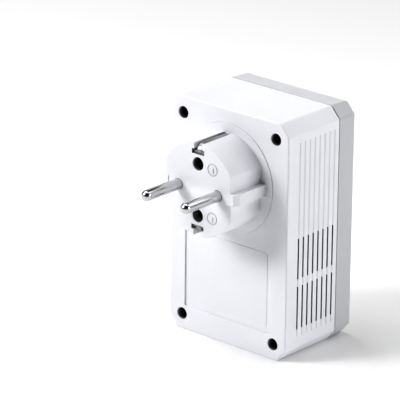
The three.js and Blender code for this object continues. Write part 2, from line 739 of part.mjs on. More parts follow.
// The ring's own section, grown on every side.
function chokeRing(growth = 0) {
  const ys = [CHOKE.near + growth, CHOKE.far - growth];
  return cut(
    barY(CHOKE.x, CHOKE.z, CHOKE.outer + growth, ys, SHAFT_SIDES),
    barY(CHOKE.x, CHOKE.z, CHOKE.inner - growth, [ys[0] + OVERCUT, ys[1] - OVERCUT], SHAFT_SIDES),
  );
}

function chokeWinding(side) {
  const reach = 2 * CHOKE.outer;
  const half = block(
    [CHOKE.x + side * WINDING_SPLIT, CHOKE.x + side * reach],
    [CHOKE.near + reach, CHOKE.far - reach],
    [CHOKE.z - reach, CHOKE.z + reach],
  );
  return cut(chokeRing(WINDING_LAYER), chokeRing(FIT)).intersect(half);
}

add("choke_core", chokeRing(), ferrite);
SIDES.forEach((side, i) => add(`choke_winding_${i + 1}`, chokeWinding(side), copper));

// The flyback transformer: a ferrite core whose middle leg runs through a taped bobbin.
const TRAFO = { x: -14, z: -31, coreFront: -36.4, coreRear: -24, leg: 1.9, window: 5.9, halfHeight: 3 };

function transformerCore() {
  const ys = [TRAFO.coreRear, TRAFO.coreFront];
  const windows = SIDES.map((side) =>
    block(
      [TRAFO.x + side * TRAFO.leg, TRAFO.x + side * TRAFO.window],
      [ys[0] - 1.8, ys[1] + 1.4],
      [TRAFO.z - 2 * TRAFO.halfHeight, TRAFO.z + 2 * TRAFO.halfHeight],
    ),
  );
  return cut(blockAt(TRAFO.x, TRAFO.z, 16, 2 * TRAFO.halfHeight, ys), ...windows);
}

function transformerBobbin() {
  const winding = blockAt(TRAFO.x, TRAFO.z, 11.4, 14.4, [-26, -34.8]);
  const cheeks = SIDES.map((way) => blockAt(TRAFO.x, TRAFO.z + way * 7.5, 14, 1, [-25, POWER_BOARD_REAR]));
  const legHole = blockAt(TRAFO.x, TRAFO.z, 4.2, 6.4, [TRAFO.coreRear + OVERCUT, TRAFO.coreFront - OVERCUT]);
  return cut(join(winding, ...cheeks), legHole);
}

add("transformer_core", transformerCore(), ferrite);
add("transformer_bobbin", transformerBobbin(), tape);

// ---- Main board and what stands on its front face ----

const mainBoardCuts = [MAIN_BOARD_REAR + OVERCUT, MAIN_BOARD_FRONT - OVERCUT];
const bottomNotches = SIDES.map((side) =>
  block(
    [side * NOTCH_X, side * (BOARD_HALF_WIDTH + OVERCUT)],
    mainBoardCuts,
    [NOTCH_BOTTOM, MAIN_BOARD_BOTTOM - OVERCUT],
  ),
);
const mainBoard = cut(
  block(
    [-BOARD_HALF_WIDTH, BOARD_HALF_WIDTH],
    [MAIN_BOARD_REAR, MAIN_BOARD_FRONT],
    [MAIN_BOARD_BOTTOM, BOARD_TOP],
  ),
  ...topNotches(mainBoardCuts),
  ...bottomNotches,
  ...BOARD_SCREW_XS.map((x) => barY(x, BOARD_SCREW_Z, PILOT_RADIUS, mainBoardCuts, SMALL_SIDES)),
);
add("main_board", mainBoard, laminate);

// The signal processor's stack, centred under its heat sink.
const SINK_Z = 8;
const SINK_SIZE = 24;
const SINK_BASE = 1.4;
const FIN_HEIGHT = 4;
const FIN_COUNT = 7;
const CHIP_DEPTH = 1.2;
const CHIP_TOP = MAIN_BOARD_FRONT - CHIP_DEPTH;
const PAD_TOP = CHIP_TOP - 0.5;

const mainBoxes = {
  plc_chip: { x: 0, z: SINK_Z, width: 14, height: 14, depth: CHIP_DEPTH, material: blackPlastic },
  memory_chip: { x: -18, z: -7, width: 8, height: 11, depth: 1, material: blackPlastic },
  ethernet_chip: { x: -8, z: -52, width: 8, height: 8, depth: 0.9, material: blackPlastic },
  ethernet_transformer: { x: 11.4, z: -51, width: 15, height: 11, depth: 5.5, material: blackPlastic },
  crystal: { x: 17, z: -9, width: 11, height: 4.5, depth: 3.4, material: steel },
  led_power: { x: LED_XS[0], z: LED_Z, width: 3.2, height: 2.8, depth: LED_HEIGHT, material: clear },
  led_powerline: { x: LED_XS[1], z: LED_Z, width: 3.2, height: 2.8, depth: LED_HEIGHT, material: clear },
  led_ethernet: { x: LED_XS[2], z: LED_Z, width: 3.2, height: 2.8, depth: LED_HEIGHT, material: clear },
};
for (const [name, { x, z, width, height, depth, material }] of Object.entries(mainBoxes)) {
  add(name, blockAt(x, z, width, height, [MAIN_BOARD_FRONT, MAIN_BOARD_FRONT - depth]), material);
}

function heatSink() {
  const base = blockAt(0, SINK_Z, SINK_SIZE, SINK_SIZE, [PAD_TOP, PAD_TOP - SINK_BASE]);
  const pitch = (SINK_SIZE - 1) / (FIN_COUNT - 1);
  const finYs = [PAD_TOP - SINK_BASE + FIT, PAD_TOP - SINK_BASE - FIN_HEIGHT];
  const fins = Array.from({ length: FIN_COUNT }, (_, i) =>
    blockAt((i - (FIN_COUNT - 1) / 2) * pitch, SINK_Z, 1, SINK_SIZE, finYs),
  );
  return join(base, ...fins);
}

add("thermal_pad", blockAt(0, SINK_Z, 13, 13, [CHIP_TOP, PAD_TOP]), softSheet);
add("heat_sink", heatSink(), aluminium);

// One clear moulding carries the three posts that end in the front cover's holes.
function lightGuide() {
  const bar = block(
    [LED_XS.at(0) - 2.4, LED_XS.at(-1) + 2.4],
    [FRONT_INSIDE + 1.7, FRONT_INSIDE + FIT],
    [LED_Z - 2, LED_Z + 2],
  );
  const postYs = [MAIN_BOARD_FRONT - LED_HEIGHT - 0.5, FRONT + FIT];
  return join(bar, ...LED_XS.map((x) => barY(x, LED_Z, LED_HOLE_RADIUS - 1.5 * FIT, postYs)));
}

add("light_guide", lightGuide(), clear);

// Between the boards: the plug-in link and the insulating sheet it passes through.
const boardLink = block([-LINK_HALF_WIDTH, LINK_HALF_WIDTH], [POWER_BOARD_FRONT, MAIN_BOARD_REAR], LINK_Z);
const sheetCuts = [SHEET_REAR + OVERCUT, SHEET_REAR - SHEET_THICKNESS - OVERCUT];
const insulatingSheet = cut(
  block(
    [-BOARD_HALF_WIDTH + CLEAR, BOARD_HALF_WIDTH - CLEAR],
    [SHEET_REAR, SHEET_REAR - SHEET_THICKNESS],
    [POWER_BOARD_BOTTOM + CLEAR, BOARD_TOP - CLEAR],
  ),
  ...topNotches(sheetCuts),
  block([-LINK_HALF_WIDTH - CLEAR, LINK_HALF_WIDTH + CLEAR], sheetCuts, [LINK_Z[0] - CLEAR, LINK_Z[1] + CLEAR]),
);
add("board_connector", boardLink, blackPlastic);
add("insulating_sheet", insulatingSheet, softSheet);

// ---- Pair button and its switch ----

const SWITCH_TOP = MAIN_BOARD_FRONT - 3.5;
const PLUNGER_RADIUS = 1.7;
const PLUNGER_FOOT = SWITCH_TOP + 1.1;
const PLUNGER_TOP = SWITCH_TOP - 1.5;
const PLUNGER_TRAVEL = 0.5;

const pairSwitch = cut(
  blockAt(0, BUTTON_Z, 6, 6, [MAIN_BOARD_FRONT, SWITCH_TOP]),
  barY(0, BUTTON_Z, PLUNGER_RADIUS + CLEAR, [SWITCH_TOP - OVERCUT, PLUNGER_FOOT + PLUNGER_TRAVEL + FIT]),
);
add("pair_switch_body", pairSwitch, blackPlastic);
add("pair_switch_plunger", barY(0, BUTTON_Z, PLUNGER_RADIUS, [PLUNGER_FOOT, PLUNGER_TOP]), greyShell);

// The cap stands a little proud of the front. A flange holds it in, and its stem meets the plunger.
function pairButton() {
  const flangeRear = FRONT_INSIDE + CLEAR + 1.1;
  const cap = slab(
    stadium(BUTTON_HALF_LENGTH, BUTTON_HALF_HEIGHT, BUTTON_Z),
    flangeRear - FIT,
    FRONT - BUTTON_PROUD,
    { farBevel: 0.4, curveSegments: BUTTON_STEPS },
  );
  const flange = slab(
    stadium(BUTTON_HALF_LENGTH + BUTTON_FLANGE, BUTTON_HALF_HEIGHT + BUTTON_FLANGE, BUTTON_Z),
    flangeRear,
    FRONT_INSIDE + CLEAR,
    { curveSegments: BUTTON_STEPS },
  );
  const stem = barY(0, BUTTON_Z, PLUNGER_RADIUS - 2 * FIT, [PLUNGER_TOP - FIT / 2, flangeRear - 2 * FIT]);
  return join(cap, flange, stem);
}

add("pair_button", pairButton(), greyShell);

// ---- Reset switch, behind its pinhole ----

const RESET_BODY_Z = [-62, -58];
const RESET_PLUNGER_Z = [-63.2, -60.6];
const RESET_BORE_END = -60.2;

const resetSwitch = cut(
  block([RESET_X - 3, RESET_X + 3], [MAIN_BOARD_REAR, RESET_Y + 2.4], RESET_BODY_Z),
  barZ(RESET_X, RESET_Y, RESET_HOLE_RADIUS + CLEAR, [RESET_BODY_Z[0] - OVERCUT, RESET_BORE_END], SMALL_SIDES),
);
const resetPlunger = barZ(RESET_X, RESET_Y, RESET_HOLE_RADIUS, RESET_PLUNGER_Z, SMALL_SIDES);
add("reset_switch_body", resetSwitch, blackPlastic);
add("reset_switch_plunger", resetPlunger, greyShell);

// ---- Network port ----

// The plug's way in: the port itself and the narrower slot for the plug's latch.
function portCuts(end) {
  const mouth = BOTTOM - OVERCUT;
  const latchZs = [mouth, Math.min(end, LATCH_END)];
  return [
    block([-PORT_HALF_WIDTH, PORT_HALF_WIDTH], PORT_Y, [mouth, end]),
    block([-LATCH_HALF_WIDTH, LATCH_HALF_WIDTH], [LATCH_Y, PORT_Y[0] + OVERCUT], latchZs),
  ];
}

// The jack's own block, with every face but the open top moved in.
const jackBlock = (inset, top) =>
  block(
    [-JACK_HALF_WIDTH + inset, JACK_HALF_WIDTH - inset],
    [JACK_Y[0] + inset, JACK_Y[1] - inset],
    [JACK_Z[0] + inset, top],
  );

const jackShield = cut(
  jackBlock(0, JACK_Z[1]),
  jackBlock(SHIELD_WALL, JACK_Z[1] + OVERCUT),
  ...portCuts(JACK_Z[0] + OVERCUT),
);
const jackInsert = cut(jackBlock(SHIELD_WALL + 2 * FIT, JACK_Z[1] - CLEAR), ...portCuts(PORT_END));

// Eight spring fingers slanting into the port from a common strip at its back.
function jackContacts() {
  const [stripRear, stripTop] = [PORT_Y[1] - CLEAR, PORT_END - 2 * FIT];
  const strip = block([-4.2, 4.2], [stripRear - 0.9, stripRear], [stripTop - 0.7, stripTop]);
  const side = new THREE.Shape();
  side.moveTo(stripRear - 0.1, stripTop - 0.2);
  side.lineTo(stripRear - 0.6, stripTop - 0.2);
  side.lineTo(stripRear - 2.4, -61);
  side.lineTo(stripRear - 2, -61.2);
  side.closePath();
  const [width, axes] = [0.45, new THREE.Matrix4()];
  axes.makeBasis(new THREE.Vector3(0, 1, 0), new THREE.Vector3(0, 0, 1), new THREE.Vector3(1, 0, 0));
  const fingers = Array.from({ length: CONTACT_COUNT }, (_, i) => {
    const x = (i - (CONTACT_COUNT - 1) / 2) * CONTACT_PITCH - width / 2;
    const finger = new THREE.ExtrudeGeometry(side, { depth: width, bevelEnabled: false });
    return solid(finger.applyMatrix4(axes).translate(x, 0, 0));
  });
  return join(strip, ...fingers);
}

add("ethernet_jack_shield", jackShield, steel);
add("ethernet_jack_insert", jackInsert, blackPlastic);
add("ethernet_jack_contacts", jackContacts(), gold);

export default adapter;
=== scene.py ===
import json
import math

import bmesh
import bpy
from mathutils import Matrix, Vector


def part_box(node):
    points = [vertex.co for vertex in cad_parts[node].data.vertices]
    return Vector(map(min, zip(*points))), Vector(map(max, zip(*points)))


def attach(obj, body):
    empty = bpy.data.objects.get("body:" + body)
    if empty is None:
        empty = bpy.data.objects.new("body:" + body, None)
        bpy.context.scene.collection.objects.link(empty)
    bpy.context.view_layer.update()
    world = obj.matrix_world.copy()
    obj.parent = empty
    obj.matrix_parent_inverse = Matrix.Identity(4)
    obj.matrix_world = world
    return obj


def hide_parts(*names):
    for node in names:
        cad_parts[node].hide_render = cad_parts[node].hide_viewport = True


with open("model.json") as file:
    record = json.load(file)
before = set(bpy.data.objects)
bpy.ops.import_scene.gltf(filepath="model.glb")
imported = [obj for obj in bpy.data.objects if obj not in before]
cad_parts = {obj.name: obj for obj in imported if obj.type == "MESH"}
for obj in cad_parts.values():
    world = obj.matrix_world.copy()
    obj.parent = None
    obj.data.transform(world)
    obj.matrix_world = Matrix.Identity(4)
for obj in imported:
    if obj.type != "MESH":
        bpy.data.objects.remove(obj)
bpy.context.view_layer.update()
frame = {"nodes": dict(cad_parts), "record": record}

MM = 0.001
TURN = 2 * math.pi

# ---- Places and sizes, read from the frame in millimetres ----


class Box:
    """The box round a CAD node, in millimetres. Its place is its middle in X and Z."""

    def __init__(self, node):
        low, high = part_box(node)
        self.low, self.high = low / MM, high / MM
        self.middle = (self.low + self.high) / 2
        self.size = self.high - self.low
        self.place = (self.middle.x, self.middle.z)


REAR_HOUSING = Box("rear_housing")
FRONT_COVER = Box("front_cover")
PLUG = Box("plug_body")
SCREW_NODES = [f"case_screw_{i}" for i in range(1, 5)]
SCREWS = [Box(name) for name in SCREW_NODES]
PLUG_SCREW = Box("plug_screw")
PINS = {name: Box(name) for name in ("pin_line", "pin_neutral")}
LABEL = Box("rating_label")
SHIELD = Box("ethernet_jack_shield")
BUTTON = Box("pair_button")
GUIDE = Box("light_guide")
LEDS = [Box(name) for name in ("led_power", "led_powerline", "led_ethernet")]
BOARD_SCREWS = [Box(name) for name in ("board_screw_1", "board_screw_2")]
RESET = Box("reset_switch_plunger")
MAIN_BOARD = Box("main_board")
POWER_BOARD = Box("power_board")
EARTH_SOCKET = Box("earth_socket")

# Cutting and joining: how far a cutter overshoots a face, how far two faces are kept out of one plane, and
# the length below which an edge is closed up
OVER = 1.0
LIFT = 0.003
SLIVER = 0.001

# Steps round large, middling and small circles
MANY, SOME, FEW = 96, 32, 24

# Case
BODY = "housing"
HALF_WIDTH = REAR_HOUSING.high.x
TOP = REAR_HOUSING.high.z
BOTTOM = REAR_HOUSING.low.z
REAR = REAR_HOUSING.high.y
FRONT = FRONT_COVER.low.y
WALL = 2.0
TONGUE_REACH = 1.8
TONGUE_INSET = 1.1
TONGUE_SIDE_GAP = 0.2
TONGUE_END_GAP = 0.3
JOINT = REAR_HOUSING.low.y + TONGUE_REACH
JOINT_GAP = 0.3
CORNER_X = 4.0
CORNER_Z = 4.5
CORNER_ROUND = 2.25
REAR_FILLET = 0.5
JOINT_FILLET = 0.15
FRONT_FILLET = 1.4
FRONT_TAPER = 0.5
MOUTH_FILLET = 0.25

# Screw towers of the rear housing, and the front cover's posts
TOWER_RADIUS = 4.5
TOWER_END = -43.0
TOWER_BORE = 2.3
TOWER_SHOULDER = -38.0
SHANK_BORE = 1.6
POST_RADIUS = 3.2
POST_END = -43.3
BOARD_POST_RADIUS = 2.8
BOARD_POST_GAP = 0.3
PILOT_RADIUS = 1.35
PILOT_START = -42
PILOT_FLOOR = 1.2

# Ribs that hold the power board
BOARD_RIB_ZS = (12, -12, -35.7)
BOARD_RIB_INNER_X = 23.3
BOARD_RIB_HALF = 0.8
BOARD_RIB_GAP = 0.1

# Openings of the case, with the button and light posts that show in them
LABEL_MARGIN = 2.2
RECESS_CORNER = 0.8
RECESS_FILLET = 0.2
PORT_GAP = 0.3
PORT_CORNER = 0.5
PINHOLE_RADIUS = 1.0
LIGHT_HOLE_RADIUS = 1.6
LIGHT_POST_RADIUS = 1.45
BUTTON_HALF_LENGTH = 7
BUTTON_HALF_HEIGHT = 3
BUTTON_GAP = 0.2
BUTTON_FLANGE = 1
PANEL_FILLET = 0.3

# Side grooves, and the slots in their floors
VENT_COUNT = 8
VENT_PITCH = 2.79
VENT_FIRST = REAR - 6.6
VENT_HALF_WIDTH = 0.42
GROOVE_DEPTH = 0.35
GROOVE_SLOPE = 0.5
GROOVE_RUN_OUT = 0.5
GROOVE_SPAN = (-57.1, 19.1)
VENT_SLOT_WIDTH = 0.75
VENT_SLOT_SPANS = ((-54.1, -37.1), (-34.3, -18.2))

# Plug
PLUG_RADIUS = 18.0
PLUG_HALF_FLAT = 15.8
PLUG_FLAT_ROUND = 0.35
PLUG_FILLET = 0.3
FLANGE_RADIUS = 21.35
FLANGE_PROUD = 0.35
FLANGE_FILLET = 0.15
FLANGE_GAP = 0.03
FLANGE_MOUTH_FILLET = 0.05
LIP_RADIUS = PLUG.high.x
LIP_FRONT = REAR - WALL - 0.3
RIB_REACH = 18.4
RIB_HEIGHT = 4.4
RIB_PROUD = 0.35
RIB_FOLD = 14.2
RIB_LEAD_IN = (0.9, 2.4)
RIB_ROUND = 0.25
MARKS = [(-7, 9.4), (-7, -9.4)]
MARK_RADIUS = 2.2
MARK_BEAD = 0.2
MARK_BAR_XS = (-0.55, -0.2)
MARK_BAR_YS = (-0.3, 0.18)
MARK_BAR_ZS = (-1.3, 0.7)
BEHIND_PLUG = -30

# Pins, and the holes of the plug
PIN_RADIUS = 2.05
PIN_GAP = 0.08
PIN_MOUTH_FILLET = 0.12
PIN_COLLAR_BORE = 3.6
PIN_COLLAR_GAP = 0.6
PIN_TAIL_RADIUS = 1.5
PIN_TAIL_CHAMFER = 0.3
EARTH_OFFSET = EARTH_SOCKET.middle.z
EARTH_HOLE_RADIUS = 2.5
EARTH_MOUTH_DEPTH = 4
EARTH_SLEEVE_BORE = 3.3
EARTH_SLEEVE_STOP = -3.5

# Screws. The thread's root is a share of the shank's radius, and the recess arm's halves of the head's radius
CASE_HEAD = 1.8
PLUG_HEAD = 1.6
SHANK_RADIUS = 1.25
THREAD_PITCH = 0.7
THREAD_FLANK = 0.28
THREAD_ROOT = 0.78
RECESS_ARM = (0.55, 0.13)

# Earth contacts and their slots
CONTACT_FLOOR = 13.7
CONTACT_SHOULDER = 15.5
CONTACT_HALF_WIDTH = 2.95
NECK_HALF_WIDTH = 1.9
FOOT_HALF_WIDTH = 2.65
FOOT_ZS = (13.9, 14.8)
FOOT_ROUND = 0.2
RIDGE_HALF_WIDTH = 1.2
RIDGE_ROUND = 0.35
RIDGE_CHAMFER = 0.6
RIDGE_START = -0.6
RIDGE_END = REAR + FLANGE_PROUD + 0.2
RIDGE_FOOT = 14.2
CREST_CENTRE = (-3.6, 14.4)
CREST_RADIUS = 3.1
RIDGE_TOP = CREST_CENTRE[1] + CREST_RADIUS
STRIP_THICKNESS = 0.8
STRIP_HALF_WIDTH = 3.5
STRIP_HALF_LENGTH = 14.7
STRIP_ROUND = 0.15
STRIP_HOLE_RADIUS = 1.7
TAB_HALF_WIDTH = 1.5
TAB_ZS = (3.6, 4.4)

# Network port
PORT_HALF_WIDTH = 5.95
PORT_YS = (-41, -33)
PORT_END = -50.5
LATCH_HALF_WIDTH = 3.05
LATCH_YS = (-42.6, -40)
LATCH_END = -54
SPRING_COUNT = 8
SPRING_PITCH = 1.02
SPRING_HALF_WIDTH = 0.22
SHIELD_WALL = 0.4

# Camera, the point that the lights face, and the floor
VIEW_AZIMUTH = math.radians(221.41)
VIEW_ELEVATION = math.radians(20.44)
VIEW_ROLL = math.radians(0.54)
VIEW_DISTANCE = 1227.0
VIEW_LENS = 304.2
VIEW_AIM = Vector((-1.49, 0.38, -3.40))
LIGHT_AIM = Vector((0, -30, -20))
FLOOR_HALF = 6000


# ---- Outlines: convex, made of arcs that straight lines join ----


class Outline:
    """Arcs of (centre, radius, start angle, end angle, steps), counter-clockwise in the outline's axes."""

    def __init__(self, arcs):
        self.arcs = arcs

    def grown(self, by=0.0):
        """The outline's points when it is moved out by a distance. There are always as many."""
        points = []
        for (across, up), radius, start, end, steps in self.arcs:
            whole = abs(end - start) > TURN - 1e-6
            for i in range(steps if whole else steps + 1):
                angle = start + (end - start) * i / steps
                reach = radius + by
                points.append((across + reach * math.cos(angle), up + reach * math.sin(angle)))
        return points


def circle(centre, radius, steps=48):
    return Outline([(centre, radius, 0, TURN, steps)])


def rounded_polygon(corners, radius, steps=6):
    """A convex polygon, its corners given counter-clockwise, each rounded by a tangent arc."""
    arcs = []
    count = len(corners)
    for i, corner in enumerate(corners):
        corner = Vector(corner)
        before = (Vector(corners[i - 1]) - corner).normalized()
        after = (Vector(corners[(i + 1) % count]) - corner).normalized()
        half = before.angle(after) / 2
        centre = corner + (before + after).normalized() * radius / math.sin(half)
        start = math.atan2(-before.x, before.y)
        turned = math.pi - 2 * half
        arcs.append((tuple(centre), radius, start + math.pi, start + math.pi + turned, steps))
    return Outline(arcs)


def rounded_rectangle(low, high, radius, steps=5):
    corners = [(low[0], low[1]), (high[0], low[1]), (high[0], high[1]), (low[0], high[1])]
    return rounded_polygon(corners, radius, steps)


def stadium(centre, half_length, half_height, steps=16):
    reach = half_length - half_height
    quarter = math.pi / 2
    return Outline([
        ((centre[0] + reach, centre[1]), half_height, -quarter, quarter, steps),
        ((centre[0] - reach, centre[1]), half_height, quarter, 3 * quarter, steps),
    ])


def stadium_upright(middle, span, half_width, steps=6):
    """A slot outline with round ends that runs up the outline's second axis."""
    half = math.pi
    return Outline([
        ((middle, span[1] - half_width), half_width, 0, half, steps),
        ((middle, span[0] + half_width), half_width, half, 2 * half, steps),
    ])


def flatted_circle(radius, half_flat, corner, steps=41):
    """A circle with flats towards +X and -X, met by small tangent arcs."""
    meet = math.acos((half_flat - corner) / (radius - corner))
    arcs = []
    for side in (0, math.pi):
        for start, end in ((-meet, 0), (0, meet)):
            angle = start if start else end
            spot = Vector((math.cos(angle + side), math.sin(angle + side))) * (radius - corner)
            arcs.append((tuple(spot), corner, side + start, side + end, 4))
        arcs.append(((0, 0), radius, side + meet, side + math.pi - meet, steps))
    return Outline(arcs)


def case_outline():
    right, left = HALF_WIDTH, -HALF_WIDTH
    corners = [
        (right - CORNER_X, BOTTOM), (right, BOTTOM + CORNER_Z),
        (right, TOP - CORNER_Z), (right - CORNER_X, TOP),
        (left + CORNER_X, TOP), (left, TOP - CORNER_Z),
        (left, BOTTOM + CORNER_Z), (left + CORNER_X, BOTTOM),
    ]
    return rounded_polygon(corners, CORNER_ROUND, 5)


# ---- Solids ----

AXES = {
    "X": lambda a, b, along: (along, a, b),
    "Y": lambda a, b, along: (a, along, b),
    "Z": lambda a, b, along: (a, b, along),
}


def new_object(name, form):
    """An object from a bmesh whose faces are turned outwards. The bmesh is used up."""
    bmesh.ops.recalc_face_normals(form, faces=form.faces)
    mesh = bpy.data.meshes.new(name)
    form.to_mesh(mesh)
    form.free()
    piece = bpy.data.objects.new(name, mesh)
    bpy.context.scene.collection.objects.link(piece)
    return piece


def loft(name, rings, axis="Y"):
    """A closed solid through rings of (distance along the axis, points), all with as many points."""
    place = AXES[axis]
    form = bmesh.new()
    loops = [[form.verts.new(place(a, b, along)) for a, b in points] for along, points in rings]
    for first, second in zip(loops, loops[1:]):
        for i in range(len(first)):
            j = (i + 1) % len(first)
            form.faces.new((first[i], first[j], second[j], second[i]))
    form.faces.new(loops[0])
    form.faces.new(loops[-1])
    return new_object(name, form)


def fillet_rings(outline, edge, inward, radius, base=0.0, steps=4):
    """Rings that round an outside edge. They start on the end face at edge and run inward to the side.
    inward is +1 or -1 along the axis; base is how far the side itself is moved out."""
    rings = []
    for i in range(steps + 1):
        angle = math.pi / 2 * i / steps
        along = edge + inward * radius * (1 - math.cos(angle))
        rings.append((along, outline.grown(base - radius * (1 - math.sin(angle)))))
    return rings


def mouth_rings(outline, surface, inward, fillet, steps=4):
    """Rings of a cutter whose mouth leaves a rounded edge in the surface it enters."""
    rings = [(surface - inward * OVER, outline.grown(fillet))]
    for i in range(steps + 1):
        angle = math.pi / 2 * i / steps
        along = surface + inward * (fillet * (1 - math.cos(angle)) - LIFT)
        rings.append((along, outline.grown(fillet * (1 - math.sin(angle)))))
    return rings


def hole_cutter(outline, surface, inward, depth, axis="Y", fillet=MOUTH_FILLET):
    rings = mouth_rings(outline, surface, inward, fillet)
    rings.append((surface + inward * depth, outline.grown()))
    return loft("cutter", rings, axis)


def prism(outline, start, end, axis="Y"):
    return loft("prism", [(start, outline.grown()), (end, outline.grown())], axis)


def block(low, high, round_by=0.0):
    """A block between two corners. A radius rounds its edges."""
    form = bmesh.new()
    bmesh.ops.create_cube(form, size=1)
    low, high = Vector(low), Vector(high)
    for vert in form.verts:
        vert.co = (low + high) / 2 + Vector(s * c for s, c in zip(high - low, vert.co))
    if round_by:
        bmesh.ops.bevel(form, geom=form.edges[:], offset=round_by, segments=3, profile=0.5, affect="EDGES")
    return new_object("block", form)


def slab(ends, round_by, segments, chosen):
    """A solid between two flat outlines of corners in space. The edges that chosen picks are rounded."""
    form = bmesh.new()
    first, second = [[form.verts.new(corner) for corner in end] for end in ends]
    for i in range(len(first)):
        j = (i + 1) % len(first)
        form.faces.new((first[i], first[j], second[j], second[i]))
    form.faces.new(first)
    form.faces.new(second)
    edges = [edge for edge in form.edges if chosen([vert.co for vert in edge.verts])]
    bmesh.ops.bevel(form, geom=edges, offset=round_by, segments=segments, profile=0.5, affect="EDGES")
    return new_object("slab", form)


def plate(points, half_width, round_by):
    """A plate: an outline in Y and Z, run either side of X = 0, with its rims rounded."""
    ends = [[(x, y, z) for y, z in points] for x in (-half_width, half_width)]
    return slab(ends, round_by, 2, lambda corners: corners[0].x == corners[1].x)


def turned(name, profile, centre, steps=48, axis="Y"):
    """A solid turned about a line through centre. The profile's points are (radius, distance along)."""
    place = AXES[axis]
    form = bmesh.new()
    rings = []
    for radius, along in profile:
        if radius < 1e-6:
            rings.append([form.verts.new(place(centre[0], centre[1], along))])
            continue
        ring = []
        for i in range(steps):
            angle = TURN * i / steps
            a, b = centre[0] + radius * math.cos(angle), centre[1] + radius * math.sin(angle)
            ring.append(form.verts.new(place(a, b, along)))
        rings.append(ring)
    for first, second in zip(rings, rings[1:]):
        for i in range(steps):
            j = (i + 1) % steps
            near = [first[i % len(first)], first[j % len(first)]]
            far = [second[j % len(second)], second[i % len(second)]]
            form.faces.new(list(dict.fromkeys(near + far)))
    return new_object(name, form)


def arc(centre, radius, start, end, steps):
    """Points on an arc, angles in degrees."""
    angles = [math.radians(start + (end - start) * i / steps) for i in range(steps + 1)]
    return [(centre[0] + radius * math.cos(a), centre[1] + radius * math.sin(a)) for a in angles]


def combine(base, others, operation):
    """Joins the others to base, or cuts them from it. The others are used up."""
    form = bmesh.new()
    for other in others:
        form.from_mesh(other.data)
        bpy.data.objects.remove(other)
    tool = new_object("tool", form)
    solid = base.modifiers.new("solid", "BOOLEAN")
    solid.object, solid.operation, solid.solver, solid.use_self = tool, operation, "EXACT", True
    graph = bpy.context.evaluated_depsgraph_get()
    made = bpy.data.meshes.new_from_object(base.evaluated_get(graph))
    form = bmesh.new()
    form.from_mesh(made)
    bmesh.ops.dissolve_degenerate(form, edges=form.edges, dist=SLIVER)
    form.to_mesh(made)
    form.free()
    base.modifiers.clear()
    base.data = made
    bpy.data.objects.remove(tool)
    return base


def finished(piece, name, body, material, replaced=(), crease=24, lined=()):
    """Scales a solid to metres, smooths it up to the crease angle and hands it to the frame.
    lined holds pairs of a second material and a test that says, from a face's middle, where it goes."""
    piece.name = name
    piece.data.name = name
    piece.data.transform(Matrix.Scale(MM, 4))
    piece.data.shade_smooth()
    piece.data.set_sharp_from_angle(angle=math.radians(crease))
    weighted = piece.modifiers.new("weighted_normals", "WEIGHTED_NORMAL")
    weighted.keep_sharp = True
    piece.data.materials.clear()
    piece.data.materials.append(material)
    for polygon in piece.data.polygons:
        polygon.material_index = 0
    for place, (lining, test) in enumerate(lined, 1):
        piece.data.materials.append(lining)
        for polygon in piece.data.polygons:
            if test(polygon.center / MM):
                polygon.material_index = place
    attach(piece, body)
    if replaced:
        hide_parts(*replaced)
    return piece


# ---- Materials ----


class Shader:
    """A material made of nodes, with a few helpers for procedural detail in object space."""

    def __init__(self, name, colour, roughness, **inputs):
        self.material = bpy.data.materials.new(name)
        self.material.use_nodes = True
        self.nodes = self.material.node_tree.nodes
        self.surface = self.nodes["Principled BSDF"]
        self.space = self.nodes.new("ShaderNodeTexCoord").outputs["Object"]
        self.set("Base Color", (*colour, 1))
        self.set("Roughness", roughness)
        for key, value in inputs.items():
            self.set(key.replace("_", " "), value)
        self.colour, self.roughness = colour, roughness
        self.bumps = None

    def set(self, socket, value):
        self.surface.inputs[socket].default_value = value

    def link(self, source, target):
        self.material.node_tree.links.new(source, target)

    def noise(self, size_mm, detail=2.0, stretch=(1, 1, 1)):
        mapping = self.nodes.new("ShaderNodeMapping")
        mapping.inputs["Scale"].default_value = stretch
        self.link(self.space, mapping.inputs["Vector"])
        noise = self.nodes.new("ShaderNodeTexNoise")
        noise.inputs["Scale"].default_value = 1 / (size_mm * MM)
        noise.inputs["Detail"].default_value = detail
        self.link(mapping.outputs["Vector"], noise.inputs["Vector"])
        return noise.outputs["Fac"]

    def spread(self, source, low, high, start=0.3, end=0.7):
        """A number that runs from low to high as the source does from start to end."""
        node = self.nodes.new("ShaderNodeMapRange")
        node.inputs["From Min"].default_value = start
        node.inputs["From Max"].default_value = end
        node.inputs["To Min"].default_value = low
        node.inputs["To Max"].default_value = high
        self.link(source, node.inputs["Value"])
        return node.outputs["Result"]

    def shade(self, source, low, high):
        """Varies the base colour between two multiples of itself."""
        ramp = self.nodes.new("ShaderNodeValToRGB")
        for stop, (place, share) in zip(ramp.color_ramp.elements, ((0.3, low), (0.7, high))):
            stop.position = place
            stop.color = (*[min(1.0, c * share) for c in self.colour], 1)
        self.link(source, ramp.inputs["Fac"])
        self.link(ramp.outputs["Color"], self.surface.inputs["Base Color"])
        return self

    def wear(self, source, by):
        """Varies the roughness by so much either way."""
        level = self.spread(source, self.roughness - by, self.roughness + by)
        self.link(level, self.surface.inputs["Roughness"])
        return self

    def bump(self, source, height_mm):
        node = self.nodes.new("ShaderNodeBump")
        node.inputs["Distance"].default_value = height_mm * MM
        node.inputs["Strength"].default_value = 1.0
        self.link(source, node.inputs["Height"])
        if self.bumps:
            self.link(self.bumps, node.inputs["Normal"])
        self.bumps = node.outputs["Normal"]
        self.link(self.bumps, self.surface.inputs["Normal"])
        return self


